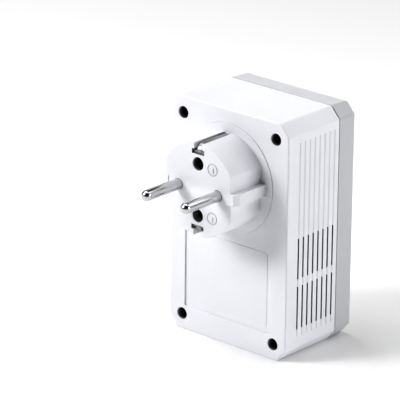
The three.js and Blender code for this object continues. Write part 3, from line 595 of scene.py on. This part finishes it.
def moulded(name, colour, roughness, grain=0.0015, **inputs):
    """A moulded plastic: fine spark texture, slow waviness, and slight unevenness of shade and gloss."""
    shader = Shader(name, colour, roughness, **inputs)
    shader.shade(shader.noise(18, 3), 0.985, 1.01)
    shader.wear(shader.noise(6, 4), 0.04)
    shader.bump(shader.noise(9, 1), 0.004)
    return shader.bump(shader.noise(0.4, 2), grain).material


def metal(name, colour, roughness, stretch=(1, 1, 1), grain=0.0008, unevenness=0.07):
    """A plated or drawn metal with fine lines along the direction it is stretched in."""
    shader = Shader(name, colour, roughness, Metallic=1.0)
    shader.shade(shader.noise(3, 3, stretch), 1 - unevenness, 1 + unevenness / 2)
    shader.wear(shader.noise(0.6, 4, stretch), unevenness)
    return shader.bump(shader.noise(0.2, 2, stretch), grain).material


def well(name, mouth, tones):
    """The wall of a deep hole along Y, with painted shade that darkens with depth: tones are (depth below the
    mouth, colour) pairs, in millimetres.
    """
    shader = Shader(name, tones[0][1], 0.65)
    split = shader.nodes.new("ShaderNodeSeparateXYZ")
    shader.link(shader.space, split.inputs["Vector"])
    deepest = tones[-1][0]
    depth = shader.spread(split.outputs["Y"], 0, 1, mouth * MM, (mouth - deepest) * MM)
    ramp = shader.nodes.new("ShaderNodeValToRGB")
    stops = ramp.color_ramp.elements
    while len(stops) < len(tones):
        stops.new(0.5)
    for stop, (at, colour) in zip(stops, tones):
        stop.position = at / deepest
        stop.color = (*colour, 1)
    shader.link(depth, ramp.inputs["Fac"])
    shader.link(ramp.outputs["Color"], shader.surface.inputs["Base Color"])
    return shader.bump(shader.noise(0.8, 3), 0.01).material


def clear_plastic(name, tint):
    shader = Shader(name, tint, 0.12, IOR=1.49, Transmission_Weight=0.85)
    shader.wear(shader.noise(2, 3), 0.03)
    return shader.bump(shader.noise(1.2, 2), 0.003).material


ALONG_Y = (1, 0.06, 1)

WHITE = moulded("white_moulding", (0.80, 0.803, 0.835), 0.42)
GREY = moulded("grey_moulding", (0.55, 0.553, 0.575), 0.34, grain=0.0005)
BLACK = moulded("black_moulding", (0.018, 0.018, 0.02), 0.5)
NICKEL = metal("satin_nickel", (0.63, 0.63, 0.64), 0.21, ALONG_Y, 0.00001, 0.003)
STRAP_METAL = metal("nickel_strip", (0.34, 0.34, 0.345), 0.4, ALONG_Y, 0.0002, 0.03)
ZINC = metal("zinc_plate", (0.42, 0.43, 0.45), 0.34)
DARK_STEEL = metal("dark_screw_steel", (0.16, 0.17, 0.16), 0.45)
ALUMINIUM = metal("extruded_aluminium", (0.62, 0.63, 0.64), 0.38, (1, 1, 0.08))
GOLD = metal("gold_flash", (0.83, 0.60, 0.26), 0.25)
# Painted shade: near black on the vent slots' walls, in the plastic's texture.
VENT_SLOT_PAINTED_SHADE = moulded("vent_slot_painted_shade", (0.03, 0.03, 0.032), 0.7)
# Painted shade: mid grey in the contact pockets.
POCKET_PAINTED_SHADE = moulded("pocket_painted_shade", (0.32, 0.32, 0.33), 0.6)
# Painted shade: mid grey on the raised mark rings, standing in for the bead's shading.
MARK = moulded("mark_painted_shade", (0.58, 0.58, 0.60), 0.5)
# Painted shade: dark grey on the case's inner walls.
INTERIOR_PAINTED_SHADE = moulded("interior_painted_shade", (0.10, 0.10, 0.105), 0.6)
# Painted shade down the deep holes: pale grey at the mouth, near black deeper; the plug screw's well passes
# through greenish greys on the way.
DARK = (0.012, 0.012, 0.013)
SCREW_WELL_PAINTED_SHADE = well("screw_well_painted_shade", REAR, [(0.3, (0.45, 0.45, 0.46)), (1.6, (0.06, 0.06, 0.062)), (2.6, DARK)])
EARTH_WELL_PAINTED_SHADE = well("earth_well_painted_shade", 0, [(0.3, (0.4, 0.4, 0.41)), (1.6, (0.05, 0.05, 0.052)), (2.6, DARK)])
SCREWED_WELL_PAINTED_SHADE = well("screwed_well_painted_shade", 0, [
    (0.2, (0.34, 0.34, 0.34)), (0.9, (0.18, 0.19, 0.17)), (2.8, (0.15, 0.16, 0.14)), (3.4, DARK),
])
FILM = moulded("label_film", (0.79, 0.793, 0.82), 0.5, grain=0.0004)
CLEAR = clear_plastic("clear_acrylic", (0.92, 0.95, 0.97))


# ---- Case ----


def rear_housing():
    outline = case_outline()
    end = JOINT + JOINT_GAP / 2
    tip = REAR_HOUSING.low.y
    rings = fillet_rings(outline, REAR, -1, REAR_FILLET, steps=5)
    rings += reversed(fillet_rings(outline, end, 1, JOINT_FILLET, steps=2))
    rings += [
        (end, outline.grown(-TONGUE_INSET)),
        (tip, outline.grown(-TONGUE_INSET)),
        (tip, outline.grown(-WALL)),
        (REAR - WALL, outline.grown(-WALL)),
    ]
    housing = loft("rear_housing", rings)
    combine(housing, screw_towers() + board_ribs(), "UNION")
    combine(housing, housing_openings(), "DIFFERENCE")
    return vented(housing)


def screw_towers():
    return [prism(circle(s.place, TOWER_RADIUS, SOME), REAR - WALL / 2, TOWER_END) for s in SCREWS]


def board_ribs():
    """Ribs on both side walls, which the power board lies against."""
    ribs = []
    start, end = POWER_BOARD.high.y + BOARD_RIB_GAP, REAR - WALL / 2
    for side in (-1, 1):
        low, high = sorted((side * BOARD_RIB_INNER_X, side * (HALF_WIDTH - WALL / 2)))
        for z in BOARD_RIB_ZS:
            ribs.append(block((low, start, z - BOARD_RIB_HALF), (high, end, z + BOARD_RIB_HALF)))
    return ribs


def housing_openings():
    """Cutters for the plug's flange, the case screws, the label, the network port and the reset pinhole."""
    seat = circle((0, 0), FLANGE_RADIUS + FLANGE_GAP, MANY)
    cutters = [hole_cutter(seat, REAR, -1, WALL + OVER, fillet=FLANGE_MOUTH_FILLET)]
    for screw in SCREWS:
        bore, shank = circle(screw.place, TOWER_BORE, SOME), circle(screw.place, SHANK_BORE, FEW)
        cutters.append(hole_cutter(bore, REAR, -1, REAR - TOWER_SHOULDER))
        cutters.append(prism(shank, TOWER_SHOULDER + OVER, TOWER_END - OVER))
    recess = rounded_rectangle(
        (LABEL.low.x - LABEL_MARGIN, LABEL.low.z - LABEL_MARGIN),
        (LABEL.high.x + LABEL_MARGIN, LABEL.high.z + LABEL_MARGIN), RECESS_CORNER,
    )
    cutters.append(hole_cutter(recess, REAR, -1, REAR - LABEL.low.y, fillet=RECESS_FILLET))
    port = rounded_rectangle(
        (SHIELD.low.x - PORT_GAP, SHIELD.low.y - PORT_GAP),
        (SHIELD.high.x + PORT_GAP, SHIELD.high.y + PORT_GAP), PORT_CORNER,
    )
    pinhole = circle((RESET.middle.x, RESET.middle.y), PINHOLE_RADIUS, FEW)
    return cutters + [hole_cutter(opening, BOTTOM, 1, WALL + OVER, "Z") for opening in (port, pinhole)]


def groove_cutter(side, y, span):
    """A groove with a steep wall to the rear and a long slope to the front, tapering out at its ends."""
    face = side * HALF_WIDTH
    rear, front = y + VENT_HALF_WIDTH, y - VENT_HALF_WIDTH
    rings = []
    for depth, slope, run in ((-OVER, 0, 0), (0, 0, 0), (GROOVE_DEPTH, GROOVE_SLOPE, GROOVE_RUN_OUT)):
        low, high = span[0] + run, span[1] - run
        corners = [(front + slope, low), (rear, low), (rear, high), (front + slope, high)]
        rings.append((face - side * depth, corners))
    return loft("groove", rings, "X")


def vent_rows():
    """Where each groove's middle is, along Y."""
    return [VENT_FIRST - i * VENT_PITCH for i in range(VENT_COUNT)]


def vent_slot_middle(row):
    """A slot runs along its groove's rear wall."""
    return row + VENT_HALF_WIDTH - VENT_SLOT_WIDTH / 2


def vented(housing):
    """Cuts the side grooves, and then the slots in their floors, in both sides."""
    grooves, slots = [], []
    for side in (-1, 1):
        face = side * HALF_WIDTH
        for row in vent_rows():
            grooves.append(groove_cutter(side, row, GROOVE_SPAN))
            for span in VENT_SLOT_SPANS:
                slot = stadium_upright(vent_slot_middle(row), span, VENT_SLOT_WIDTH / 2)
                slots.append(loft("slot", [
                    (face + side * OVER, slot.grown()),
                    (face - side * (WALL + OVER), slot.grown()),
                ], "X"))
    combine(housing, grooves, "DIFFERENCE")
    return combine(housing, slots, "DIFFERENCE")


def front_cover():
    outline = case_outline()
    start = JOINT - JOINT_GAP / 2
    inside = FRONT + WALL
    relief = TONGUE_SIDE_GAP - TONGUE_INSET
    relief_end = JOINT - TONGUE_REACH - TONGUE_END_GAP
    rings = [
        (inside, outline.grown(-WALL)),
        (relief_end, outline.grown(-WALL)),
        (relief_end, outline.grown(relief)),
        (start, outline.grown(relief)),
    ]
    rings += fillet_rings(outline, start, -1, JOINT_FILLET, steps=2)
    rings += reversed(fillet_rings(outline, FRONT, 1, FRONT_FILLET, base=-FRONT_TAPER, steps=6))
    cover = loft("front_cover", rings)

    root, board_end = inside - WALL / 2, MAIN_BOARD.low.y - BOARD_POST_GAP
    posts = [prism(circle(s.place, POST_RADIUS, SOME), root, POST_END) for s in SCREWS]
    posts += [prism(circle(s.place, BOARD_POST_RADIUS, SOME), root, board_end) for s in BOARD_SCREWS]
    combine(cover, posts, "UNION")

    pilots = [circle(s.place, PILOT_RADIUS, FEW) for s in SCREWS + BOARD_SCREWS]
    cutters = [prism(pilot, PILOT_START, inside + PILOT_FLOOR) for pilot in pilots]
    openings = [circle(led.place, LIGHT_HOLE_RADIUS, SOME) for led in LEDS]
    openings.append(button_outline(BUTTON_GAP, 16))
    cutters += [hole_cutter(opening, FRONT, 1, WALL + OVER, fillet=PANEL_FILLET) for opening in openings]
    return combine(cover, cutters, "DIFFERENCE")


# ---- Plug ----


def plug_moulding():
    outline = flatted_circle(PLUG_RADIUS, PLUG_HALF_FLAT, PLUG_FLAT_ROUND)
    rings = fillet_rings(outline, 0, -1, PLUG_FILLET, steps=5)
    rings.append((REAR - OVER, outline.grown()))
    barrel = loft("plug_body", rings)
    marks = [made for centre in MARKS for made in (mark_ring(centre), mark_bar(centre))]
    combine(barrel, [flange(), *ribs(), *marks], "UNION")
    combine(barrel, plug_holes(), "DIFFERENCE")
    return combine(barrel, contact_slots(), "DIFFERENCE")


def flange():
    """The disc round the plug's foot, with a wider lip behind the housing's wall."""
    face, back = REAR + FLANGE_PROUD, PLUG.low.y
    edge = arc((FLANGE_RADIUS - FLANGE_FILLET, face - FLANGE_FILLET), FLANGE_FILLET, 90, 0, 3)
    return turned("flange", [
        (0, face),
        *edge,
        (FLANGE_RADIUS, LIP_FRONT),
        (LIP_RADIUS, LIP_FRONT),
        (LIP_RADIUS, back),
        (0, back),
    ], (0, 0), MANY)


def plug_holes():
    """Cutters for the pins and their collars, the earth sleeve, and the plug screw's well."""
    cutters = []
    for pin in PINS.values():
        hole = circle(pin.place, PIN_RADIUS + PIN_GAP)
        cutters.append(hole_cutter(hole, 0, -1, -BEHIND_PLUG, fillet=PIN_MOUTH_FILLET))
        cutters.append(prism(circle(pin.place, PIN_COLLAR_BORE), LIP_FRONT, BEHIND_PLUG))
    earth, screw = (0, EARTH_OFFSET), PLUG_SCREW.place
    cutters.append(hole_cutter(circle(earth, EARTH_HOLE_RADIUS), 0, -1, EARTH_MOUTH_DEPTH))
    cutters.append(prism(circle(earth, EARTH_SLEEVE_BORE), EARTH_SLEEVE_STOP, BEHIND_PLUG))
    seat = PLUG_SCREW.high.y - PLUG_HEAD
    cutters.append(hole_cutter(circle(screw, EARTH_HOLE_RADIUS), 0, -1, -seat))
    cutters.append(prism(circle(screw, SHANK_BORE, FEW), seat + OVER, BEHIND_PLUG))
    return cutters


def ribs():
    """The two side ribs, each with a lead-in slope and a fold over the edge of the engagement face."""
    across, along = RIB_LEAD_IN
    root = REAR - OVER
    plan = [
        (RIB_FOLD, -OVER), (RIB_FOLD, RIB_PROUD), (RIB_REACH - across, RIB_PROUD),
        (RIB_REACH, -along), (RIB_REACH, root), (RIB_FOLD, root),
    ]

    def outside(corners):
        """Whether an edge is on the rib's outside: neither at its root nor on its inner face."""
        reach = max(abs(corner.x) for corner in corners)
        depth = min(corner.y for corner in corners)
        return depth > root + 0.1 and (reach > RIB_FOLD + 0.1 or depth > 0)

    solids = []
    for side in (-1, 1):
        ends = [[(side * x, y, z) for x, y in plan] for z in (-RIB_HEIGHT / 2, RIB_HEIGHT / 2)]
        solids.append(slab(ends, RIB_ROUND, 3, outside))
    return solids


def mark_ring(centre):
    """A raised ring on the engagement face: a half-round bead whose foot is sunk in the face."""
    inner, outer = MARK_RADIUS - MARK_BEAD, MARK_RADIUS + MARK_BEAD
    profile = [*arc((MARK_RADIUS, LIFT), MARK_BEAD, 0, 180, 6), (inner, -MARK_BEAD), (outer, -MARK_BEAD)]
    steps = 40
    form = bmesh.new()
    loops = []
    for i in range(steps):
        across, up = math.cos(TURN * i / steps), math.sin(TURN * i / steps)
        corners = [(centre[0] + r * across, along, centre[1] + r * up) for r, along in profile]
        loops.append([form.verts.new(corner) for corner in corners])
    for i in range(steps):
        here, there = loops[i], loops[(i + 1) % steps]
        for j in range(len(profile)):
            k = (j + 1) % len(profile)
            form.faces.new((here[j], here[k], there[k], there[j]))
    return new_object("mark", form)


def mark_bar(centre):
    """The short raised bar inside a ring, a little off its middle."""
    corners = zip(MARK_BAR_XS, MARK_BAR_YS, MARK_BAR_ZS)
    low, high = [(centre[0] + x, y, centre[1] + z) for x, y, z in corners]
    return block(low, high)


def contact_slots():
    """The T-shaped slots of the side contacts: a pocket under the skin and a neck open to the outside."""
    slots = []
    neck_end = REAR + FLANGE_PROUD + 0.1
    for way in (-1, 1):
        low, high = sorted((way * CONTACT_FLOOR, way * CONTACT_SHOULDER))
        slots.append(block((-CONTACT_HALF_WIDTH, BEHIND_PLUG, low), (CONTACT_HALF_WIDTH, OVER, high)))
        low, high = sorted((way * (CONTACT_FLOOR + 0.01), way * (PLUG_RADIUS + OVER)))
        slots.append(block((-NECK_HALF_WIDTH, neck_end, low), (NECK_HALF_WIDTH, OVER, high)))
    return slots


def turned_pin(box):
    """A round-nosed pin with a collar behind the housing's wall and a thinner tail for its lead."""
    collar_front, collar_rear = REAR - WALL - PIN_COLLAR_GAP, PLUG.low.y
    nose = arc((0, box.high.y - PIN_RADIUS), PIN_RADIUS, 90, 0, 12)
    nose[0] = (0, box.high.y)
    return turned("pin", [
        *nose,
        (PIN_RADIUS, collar_front),
        (box.size.x / 2, collar_front),
        (box.size.x / 2, collar_rear),
        (PIN_TAIL_RADIUS, collar_rear),
        (PIN_TAIL_RADIUS, box.low.y + PIN_TAIL_CHAMFER),
        (PIN_TAIL_RADIUS - PIN_TAIL_CHAMFER, box.low.y),
        (0, box.low.y),
    ], box.place, 64)


def earth_strap():
    """Two pressed side contacts, each a broad foot with a crowned ridge, joined behind the plug."""
    strap = Box("earth_strap")
    front = PLUG.low.y - 0.1
    rear = front - STRIP_THICKNESS
    crest = arc(CREST_CENTRE, CREST_RADIUS, 5, 90, 8)
    ridge = [
        (RIDGE_END, RIDGE_FOOT), (RIDGE_START, RIDGE_FOOT), *crest,
        (RIDGE_END + RIDGE_CHAMFER, RIDGE_TOP), (RIDGE_END, RIDGE_TOP - RIDGE_CHAMFER),
    ]
    arms = []
    for way in (-1, 1):
        low, high = sorted(way * z for z in FOOT_ZS)
        foot = (-FOOT_HALF_WIDTH, rear, low), (FOOT_HALF_WIDTH, strap.high.y, high)
        arms.append(block(*foot, FOOT_ROUND))
        arms.append(plate([(y, way * z) for y, z in ridge], RIDGE_HALF_WIDTH, RIDGE_ROUND))
    reach = Vector((STRIP_HALF_WIDTH, 0, STRIP_HALF_LENGTH))
    strip = block(Vector((0, rear, 0)) - reach, Vector((0, front, 0)) + reach, STRIP_ROUND)
    tab = (-TAB_HALF_WIDTH, strap.low.y, TAB_ZS[0]), (TAB_HALF_WIDTH, rear + 0.2, TAB_ZS[1])
    combine(strip, [block(*tab, STRIP_ROUND), *arms], "UNION")
    hole = prism(circle(PLUG_SCREW.place, STRIP_HOLE_RADIUS, FEW), front + OVER, rear - OVER)
    return combine(strip, [hole], "DIFFERENCE")


def cross_screw(box, head_height):
    """A pan-head self-tapping screw with a cross recess and a turned thread, its head towards +Y."""
    top, seat = box.high.y, box.high.y - head_height
    head_radius, root = box.size.x / 2, SHANK_RADIUS * THREAD_ROOT
    rim, crown = 0.45 * head_height, 0.55 * head_height
    angles = [math.pi / 2 * i / 8 for i in range(9)]
    dome = [(head_radius * math.sin(a), seat + rim + crown * math.cos(a)) for a in angles]
    thread, y = [], seat - 0.6
    while y > box.low.y + 2:
        thread += [(root, y), (SHANK_RADIUS, y - THREAD_FLANK), (root, y - 2 * THREAD_FLANK)]
        y -= THREAD_PITCH
    profile = [(0, top), *dome[1:], (head_radius, seat), (root, seat), *thread, (0, box.low.y)]
    screw = turned("screw", profile, box.place, SOME)
    for halves, drop in ((RECESS_ARM, 0), (RECESS_ARM[::-1], LIFT)):
        combine(screw, [recess_arm(box, head_height, halves, drop)], "DIFFERENCE")
    return screw


def recess_arm(box, head_height, halves, drop):
    """One arm of a cross recess. It narrows as it goes down; halves are shares of the head's radius."""
    top, head_radius = box.high.y, box.size.x / 2
    centre = box.place
    wide = [half * head_radius for half in halves]
    narrow = [min(half, 0.3) * head_radius for half in halves]
    spans = [(wide, top + OVER), (wide, top - 0.05 - drop), (narrow, top - head_height * 0.75 - drop)]
    signs = ((-1, -1), (1, -1), (1, 1), (-1, 1))
    return loft("arm", [
        (along, [(centre[0] + across * reach[0], centre[1] + up * reach[1]) for across, up in signs])
        for reach, along in spans
    ])


# ---- Front panel and port ----


def button_outline(by, steps=20):
    return stadium(BUTTON.place, BUTTON_HALF_LENGTH + by, BUTTON_HALF_HEIGHT + by, steps)


def pair_button():
    """The button's cap with a gently dished face, its retaining flange and its stem."""
    face = button_outline(0)
    dish_depth, dish_inset = 0.12, 1.6
    flange_front, flange_rear = FRONT + WALL + 0.3, FRONT + WALL + 1.4
    rings = fillet_rings(face, BUTTON.low.y, 1, 0.45, steps=5)
    rings.insert(0, (BUTTON.low.y + dish_depth, face.grown(-dish_inset)))
    rings.append((flange_rear - 0.1, face.grown()))
    cap = loft("pair_button", rings)
    flange = prism(button_outline(BUTTON_FLANGE), flange_front, flange_rear)
    stem = prism(circle(BUTTON.place, 1.5, SOME), flange_rear - 0.2, BUTTON.high.y)
    return combine(cap, [flange, stem], "UNION")


def light_guide():
    """A bar behind the front panel, with a round-ended post for each light."""
    front, rear = FRONT + WALL + 0.1, FRONT + WALL + 1.7
    bar = block((GUIDE.low.x, front, GUIDE.low.z), (GUIDE.high.x, rear, GUIDE.high.z), 0.3)
    posts = []
    for led in LEDS:
        outline = circle(led.place, LIGHT_POST_RADIUS, SOME)
        rings = fillet_rings(outline, GUIDE.low.y, 1, 0.3)
        posts.append(loft("post", rings + [(GUIDE.high.y, outline.grown())]))
    return combine(bar, posts, "UNION")


def port_outlines():
    """The ways in for the network plug and, towards the front, for its latch."""
    shapes = ((PORT_HALF_WIDTH, PORT_YS), (LATCH_HALF_WIDTH, LATCH_YS))
    return [rounded_rectangle((-half, low), (half, high), 0.3, 3) for half, (low, high) in shapes]


def jack_shield():
    low, high = SHIELD.low, SHIELD.high
    outline = rounded_rectangle((low.x, low.y), (high.x, high.y), 0.6, 4)
    inner = rounded_rectangle(
        (low.x + SHIELD_WALL, low.y + SHIELD_WALL),
        (high.x - SHIELD_WALL, high.y - SHIELD_WALL), 0.25, 4,
    )
    rings = fillet_rings(outline, low.z, 1, 0.25, steps=3)
    rings += [(high.z, outline.grown()), (high.z, inner.grown()), (low.z + SHIELD_WALL, inner.grown())]
    shield = loft("ethernet_jack_shield", rings, "Z")
    cutters = [prism(opening, low.z - OVER, low.z + OVER, "Z") for opening in port_outlines()]
    return combine(shield, cutters, "DIFFERENCE")


def jack_insert():
    box = Box("ethernet_jack_insert")
    insert = block(box.low, box.high, 0.15)
    cutters = [
        hole_cutter(opening, box.low.z, 1, end - box.low.z, "Z", 0.2)
        for opening, end in zip(port_outlines(), (PORT_END, LATCH_END))
    ]
    return combine(insert, cutters, "DIFFERENCE")


def jack_contacts():
    """Bent springs rising from a common strip at the port's back."""
    box = Box("ethernet_jack_contacts")
    low, high = box.low, box.high
    depth, height = 0.9, 0.7
    strip = block((low.x, high.y - depth, high.z - height), high)
    bend = arc((low.y + 0.32, low.z + 0.45), 0.3, 180, 300, 6)
    side = [(high.y - 0.15, high.z - 0.3), (high.y - 0.6, high.z - 0.3), *bend]
    fingers = []
    for i in range(SPRING_COUNT):
        finger = plate(side, SPRING_HALF_WIDTH, 0.05)
        finger.data.transform(Matrix.Translation(((i - (SPRING_COUNT - 1) / 2) * SPRING_PITCH, 0, 0)))
        fingers.append(finger)
    return combine(strip, fingers, "UNION")


def label_plate():
    outline = rounded_rectangle((LABEL.low.x, LABEL.low.z), (LABEL.high.x, LABEL.high.z), 1.2)
    rings = fillet_rings(outline, LABEL.high.y, -1, 0.06, steps=2)
    rings.append((LABEL.low.y, outline.grown()))
    return loft("rating_label", rings)


# ---- Linings: tests of a face's middle, in millimetres, that say where painted shade goes as a second material ----


NEAR = 0.05


def near_axis(spot, centre, radius):
    return math.hypot(spot.x - centre[0], spot.z - centre[1]) < radius


def in_screw_well(spot):
    return spot.y < REAR - 0.2 and any(near_axis(spot, s.place, TOWER_BORE + 0.2) for s in SCREWS)


# The case's inner walls, which take painted dark shade.
def inside_case(spot):
    across = abs(spot.x) < HALF_WIDTH - WALL + NEAR
    upright = BOTTOM + WALL - NEAR < spot.z < TOP - WALL + NEAR
    return across and upright and spot.y < REAR - WALL + NEAR


def in_earth_hole(spot):
    return spot.y < -0.2 and near_axis(spot, (0, EARTH_OFFSET), EARTH_SLEEVE_BORE + 0.2)


def in_plug_screw_hole(spot):
    return spot.y < -0.2 and near_axis(spot, PLUG_SCREW.place, EARTH_SLEEVE_BORE + 0.2)


def in_contact_pocket(spot):
    """The deep part of a contact slot, under the skin, which takes painted grey shade. Its neck stays as
    light as the plug.
    """
    inside = abs(spot.x) < CONTACT_HALF_WIDTH + 0.01 and spot.y < -0.01
    return inside and CONTACT_FLOOR - 0.1 < abs(spot.z) < CONTACT_SHOULDER + 0.01


# The mark rings' faces, which take painted grey shade.
def on_mark(spot):
    return spot.y > 0.01 and any(near_axis(spot, (x, z), MARK_RADIUS + 0.3) for x, z in MARKS)


# Where the vent slots' walls take painted shade.
def in_vent_slot(spot):
    rows = any(low - 0.1 < spot.z < high + 0.1 for low, high in VENT_SLOT_SPANS)
    aside = min(abs(spot.y - vent_slot_middle(row)) for row in vent_rows())
    through = HALF_WIDTH - WALL - 0.01 < abs(spot.x) < HALF_WIDTH - GROOVE_DEPTH - NEAR
    return rows and aside < VENT_SLOT_WIDTH / 2 + 0.01 and through


# ---- The pieces ----


# The housing and the plug take painted shade as second materials: inside the case, in the screw wells, vent
# slots, contact pockets, earth and screw holes, and on the mark rings.
finished(
    rear_housing(), "housing_shell", BODY, WHITE, ["rear_housing"],
    lined=[(INTERIOR_PAINTED_SHADE, inside_case), (SCREW_WELL_PAINTED_SHADE, in_screw_well), (VENT_SLOT_PAINTED_SHADE, in_vent_slot)],
)
finished(front_cover(), "cover_shell", BODY, GREY, ["front_cover"])
finished(
    plug_moulding(), "plug_moulding", BODY, WHITE, ["plug_body"],
    lined=[
        (POCKET_PAINTED_SHADE, in_contact_pocket), (EARTH_WELL_PAINTED_SHADE, in_earth_hole),
        (SCREWED_WELL_PAINTED_SHADE, in_plug_screw_hole), (MARK, on_mark),
    ],
)
for node, box in PINS.items():
    finished(turned_pin(box), f"{node}_turned", BODY, NICKEL, [node])
finished(earth_strap(), "earth_contacts", BODY, STRAP_METAL, ["earth_strap"])
for node, box in zip(SCREW_NODES, SCREWS):
    finished(cross_screw(box, CASE_HEAD), f"{node}_threaded", BODY, DARK_STEEL, [node])
plug_screw = cross_screw(PLUG_SCREW, PLUG_HEAD)
finished(plug_screw, "plug_screw_threaded", BODY, DARK_STEEL, ["plug_screw"])
finished(label_plate(), "blank_label", BODY, FILM, ["rating_label"])
finished(pair_button(), "pair_button_cap", "pair_button", GREY, ["pair_button"])
finished(jack_shield(), "port_shield", BODY, ZINC, ["ethernet_jack_shield"])
finished(jack_insert(), "port_insert", BODY, BLACK, ["ethernet_jack_insert"])
finished(jack_contacts(), "port_springs", BODY, GOLD, ["ethernet_jack_contacts"])
finished(light_guide(), "light_guide_moulding", BODY, CLEAR, ["light_guide"])


# ---- Pieces that keep their CAD shape ----


def speckled(name, colour, roughness, size_mm, height_mm, spread=0.2, **inputs):
    """A cast, coated or pressed material with visible grains."""
    shader = Shader(name, colour, roughness, **inputs)
    grains = shader.noise(size_mm, 4)
    shader.shade(grains, 1 - spread, 1 + spread)
    shader.wear(shader.noise(size_mm * 3, 2), 0.08)
    return shader.bump(grains, height_mm).material


def laminate(name):
    """A printed circuit board: solder resist over a dense net of tracks."""
    shader = Shader(name, (0.018, 0.12, 0.055), 0.35)
    tracks = shader.nodes.new("ShaderNodeTexVoronoi")
    tracks.feature = "DISTANCE_TO_EDGE"
    tracks.inputs["Scale"].default_value = 1 / (2.4 * MM)
    shader.link(shader.space, tracks.inputs["Vector"])
    lines = shader.spread(tracks.outputs["Distance"], 1, 0, 0.04, 0.09)
    shader.shade(lines, 1.0, 1.9)
    shader.wear(shader.noise(4, 3), 0.06)
    return shader.bump(lines, 0.03).material


CAD_FINISHES = {
    "steel": ZINC,
    "nickel": NICKEL,
    "aluminium": ALUMINIUM,
    "gold": GOLD,
    "grey_shell": GREY,
    "black_plastic": moulded("component_black", (0.02, 0.02, 0.022), 0.55, grain=0.004),
    "laminate": laminate("circuit_board"),
    "ferrite": speckled("sintered_ferrite", (0.035, 0.035, 0.04), 0.75, 0.3, 0.02),
    "copper": speckled("enamelled_copper", (0.55, 0.2, 0.07), 0.3, 0.4, 0.03, Metallic=0.8),
    "tape": speckled("polyester_tape", (0.78, 0.55, 0.07), 0.35, 1.5, 0.01, 0.06),
    "clear": CLEAR,
    "film_box": speckled("potted_case", (0.45, 0.47, 0.50), 0.5, 0.5, 0.006, 0.05),
    "can_sleeve": speckled("shrink_sleeve", (0.02, 0.025, 0.07), 0.25, 2.0, 0.01, 0.15),
    "disc_coat": speckled("epoxy_dip", (0.03, 0.14, 0.42), 0.25, 1.0, 0.03, 0.12),
    "brown_wire": speckled("brown_insulation", (0.14, 0.055, 0.022), 0.4, 0.8, 0.006, 0.08),
    "blue_wire": speckled("blue_insulation", (0.02, 0.08, 0.35), 0.4, 0.8, 0.006, 0.08),
    "earth_wire": speckled("earth_insulation", (0.25, 0.38, 0.03), 0.4, 0.8, 0.006, 0.08),
    "soft_sheet": speckled("insulating_film", (0.30, 0.44, 0.52), 0.6, 0.6, 0.01, 0.08),
}

slots = {part["node"]: part["material_slot"] for part in frame["record"]["subparts"]}
for node, piece in frame["nodes"].items():
    if piece.hide_render:
        continue
    piece.data.materials.clear()
    piece.data.materials.append(CAD_FINISHES[slots[node]])
    edges = piece.modifiers.new("soft_edges", "BEVEL")
    edges.width, edges.segments = 0.12 * MM, 2
    edges.limit_method, edges.angle_limit = "ANGLE", math.radians(40)


# ---- Floor, light and camera ----


def backdrop():
    form = bmesh.new()
    bmesh.ops.create_grid(form, x_segments=1, y_segments=1, size=FLOOR_HALF)
    for vert in form.verts:
        vert.co.z = BOTTOM
    floor = new_object("floor", form)
    floor.data.transform(Matrix.Scale(MM, 4))
    shader = Shader("pale_floor", (0.95, 0.95, 0.95), 0.9)
    shader.shade(shader.noise(900, 2), 0.995, 1.0)
    floor.data.materials.append(shader.material)


def softbox(name, azimuth, elevation, side, power, distance=1.1):
    """A square area light that faces the middle of the case. Azimuth turns from +X towards +Y."""
    data = bpy.data.lights.new(name, "AREA")
    data.shape, data.size, data.energy = "SQUARE", side, power
    lamp = bpy.data.objects.new(name, data)
    turn, rise = math.radians(azimuth), math.radians(elevation)
    direction = Vector((math.cos(rise) * math.cos(turn), math.cos(rise) * math.sin(turn), math.sin(rise)))
    target = LIGHT_AIM * MM
    lamp.location = target + direction * distance
    lamp.rotation_euler = (target - lamp.location).to_track_quat("-Z", "Y").to_euler()
    lamp.visible_camera = False
    bpy.context.scene.collection.objects.link(lamp)


def surroundings(level):
    """An even, dim studio: the softboxes give nearly all the light."""
    world = bpy.data.worlds.new("studio")
    world.use_nodes = True
    world.node_tree.nodes["Background"].inputs["Color"].default_value = (level, level, level * 1.01, 1)
    bpy.context.scene.world = world


def camera():
    """Looks from behind and above, past the plug, along the photograph's line of sight."""
    data = bpy.data.cameras.new("camera")
    data.lens, data.sensor_width = VIEW_LENS, 36
    data.clip_start, data.clip_end = 0.1, 20
    flat = math.cos(VIEW_ELEVATION)
    back = Vector((
        math.sin(VIEW_AZIMUTH) * flat,
        -math.cos(VIEW_AZIMUTH) * flat,
        math.sin(VIEW_ELEVATION),
    ))
    right = Vector((0, 0, 1)).cross(back).normalized()
    up = back.cross(right)
    level = Matrix((right, up, back)).transposed().to_4x4()
    view = bpy.data.objects.new("camera", data)
    place = Matrix.Translation((VIEW_AIM + back * VIEW_DISTANCE) * MM)
    view.matrix_world = place @ level @ Matrix.Rotation(VIEW_ROLL, 4, "Z")
    bpy.context.scene.collection.objects.link(view)
    bpy.context.scene.camera = view


backdrop()
softbox("key", 51, 30, 0.35, 6.9)
softbox("high_key", 64, 40, 0.35, 2.4)
softbox("low_key", 38, 20, 0.35, 1.2)
softbox("side", 200, 12, 0.6, 6.2)
softbox("back", 240, 40, 0.25, 0.33, distance=0.4)
softbox("high_back", 220, 60, 0.6, 1.2)
softbox("front", 300, 12, 0.6, 1.7)
softbox("end", 0, 60, 0.6, 4.2)
softbox("top", 0, 88, 0.6, 2.4)
surroundings(0.012)
camera()
bpy.context.scene.view_settings.view_transform = "Standard"
bpy.context.scene.view_settings.gamma = 0.75
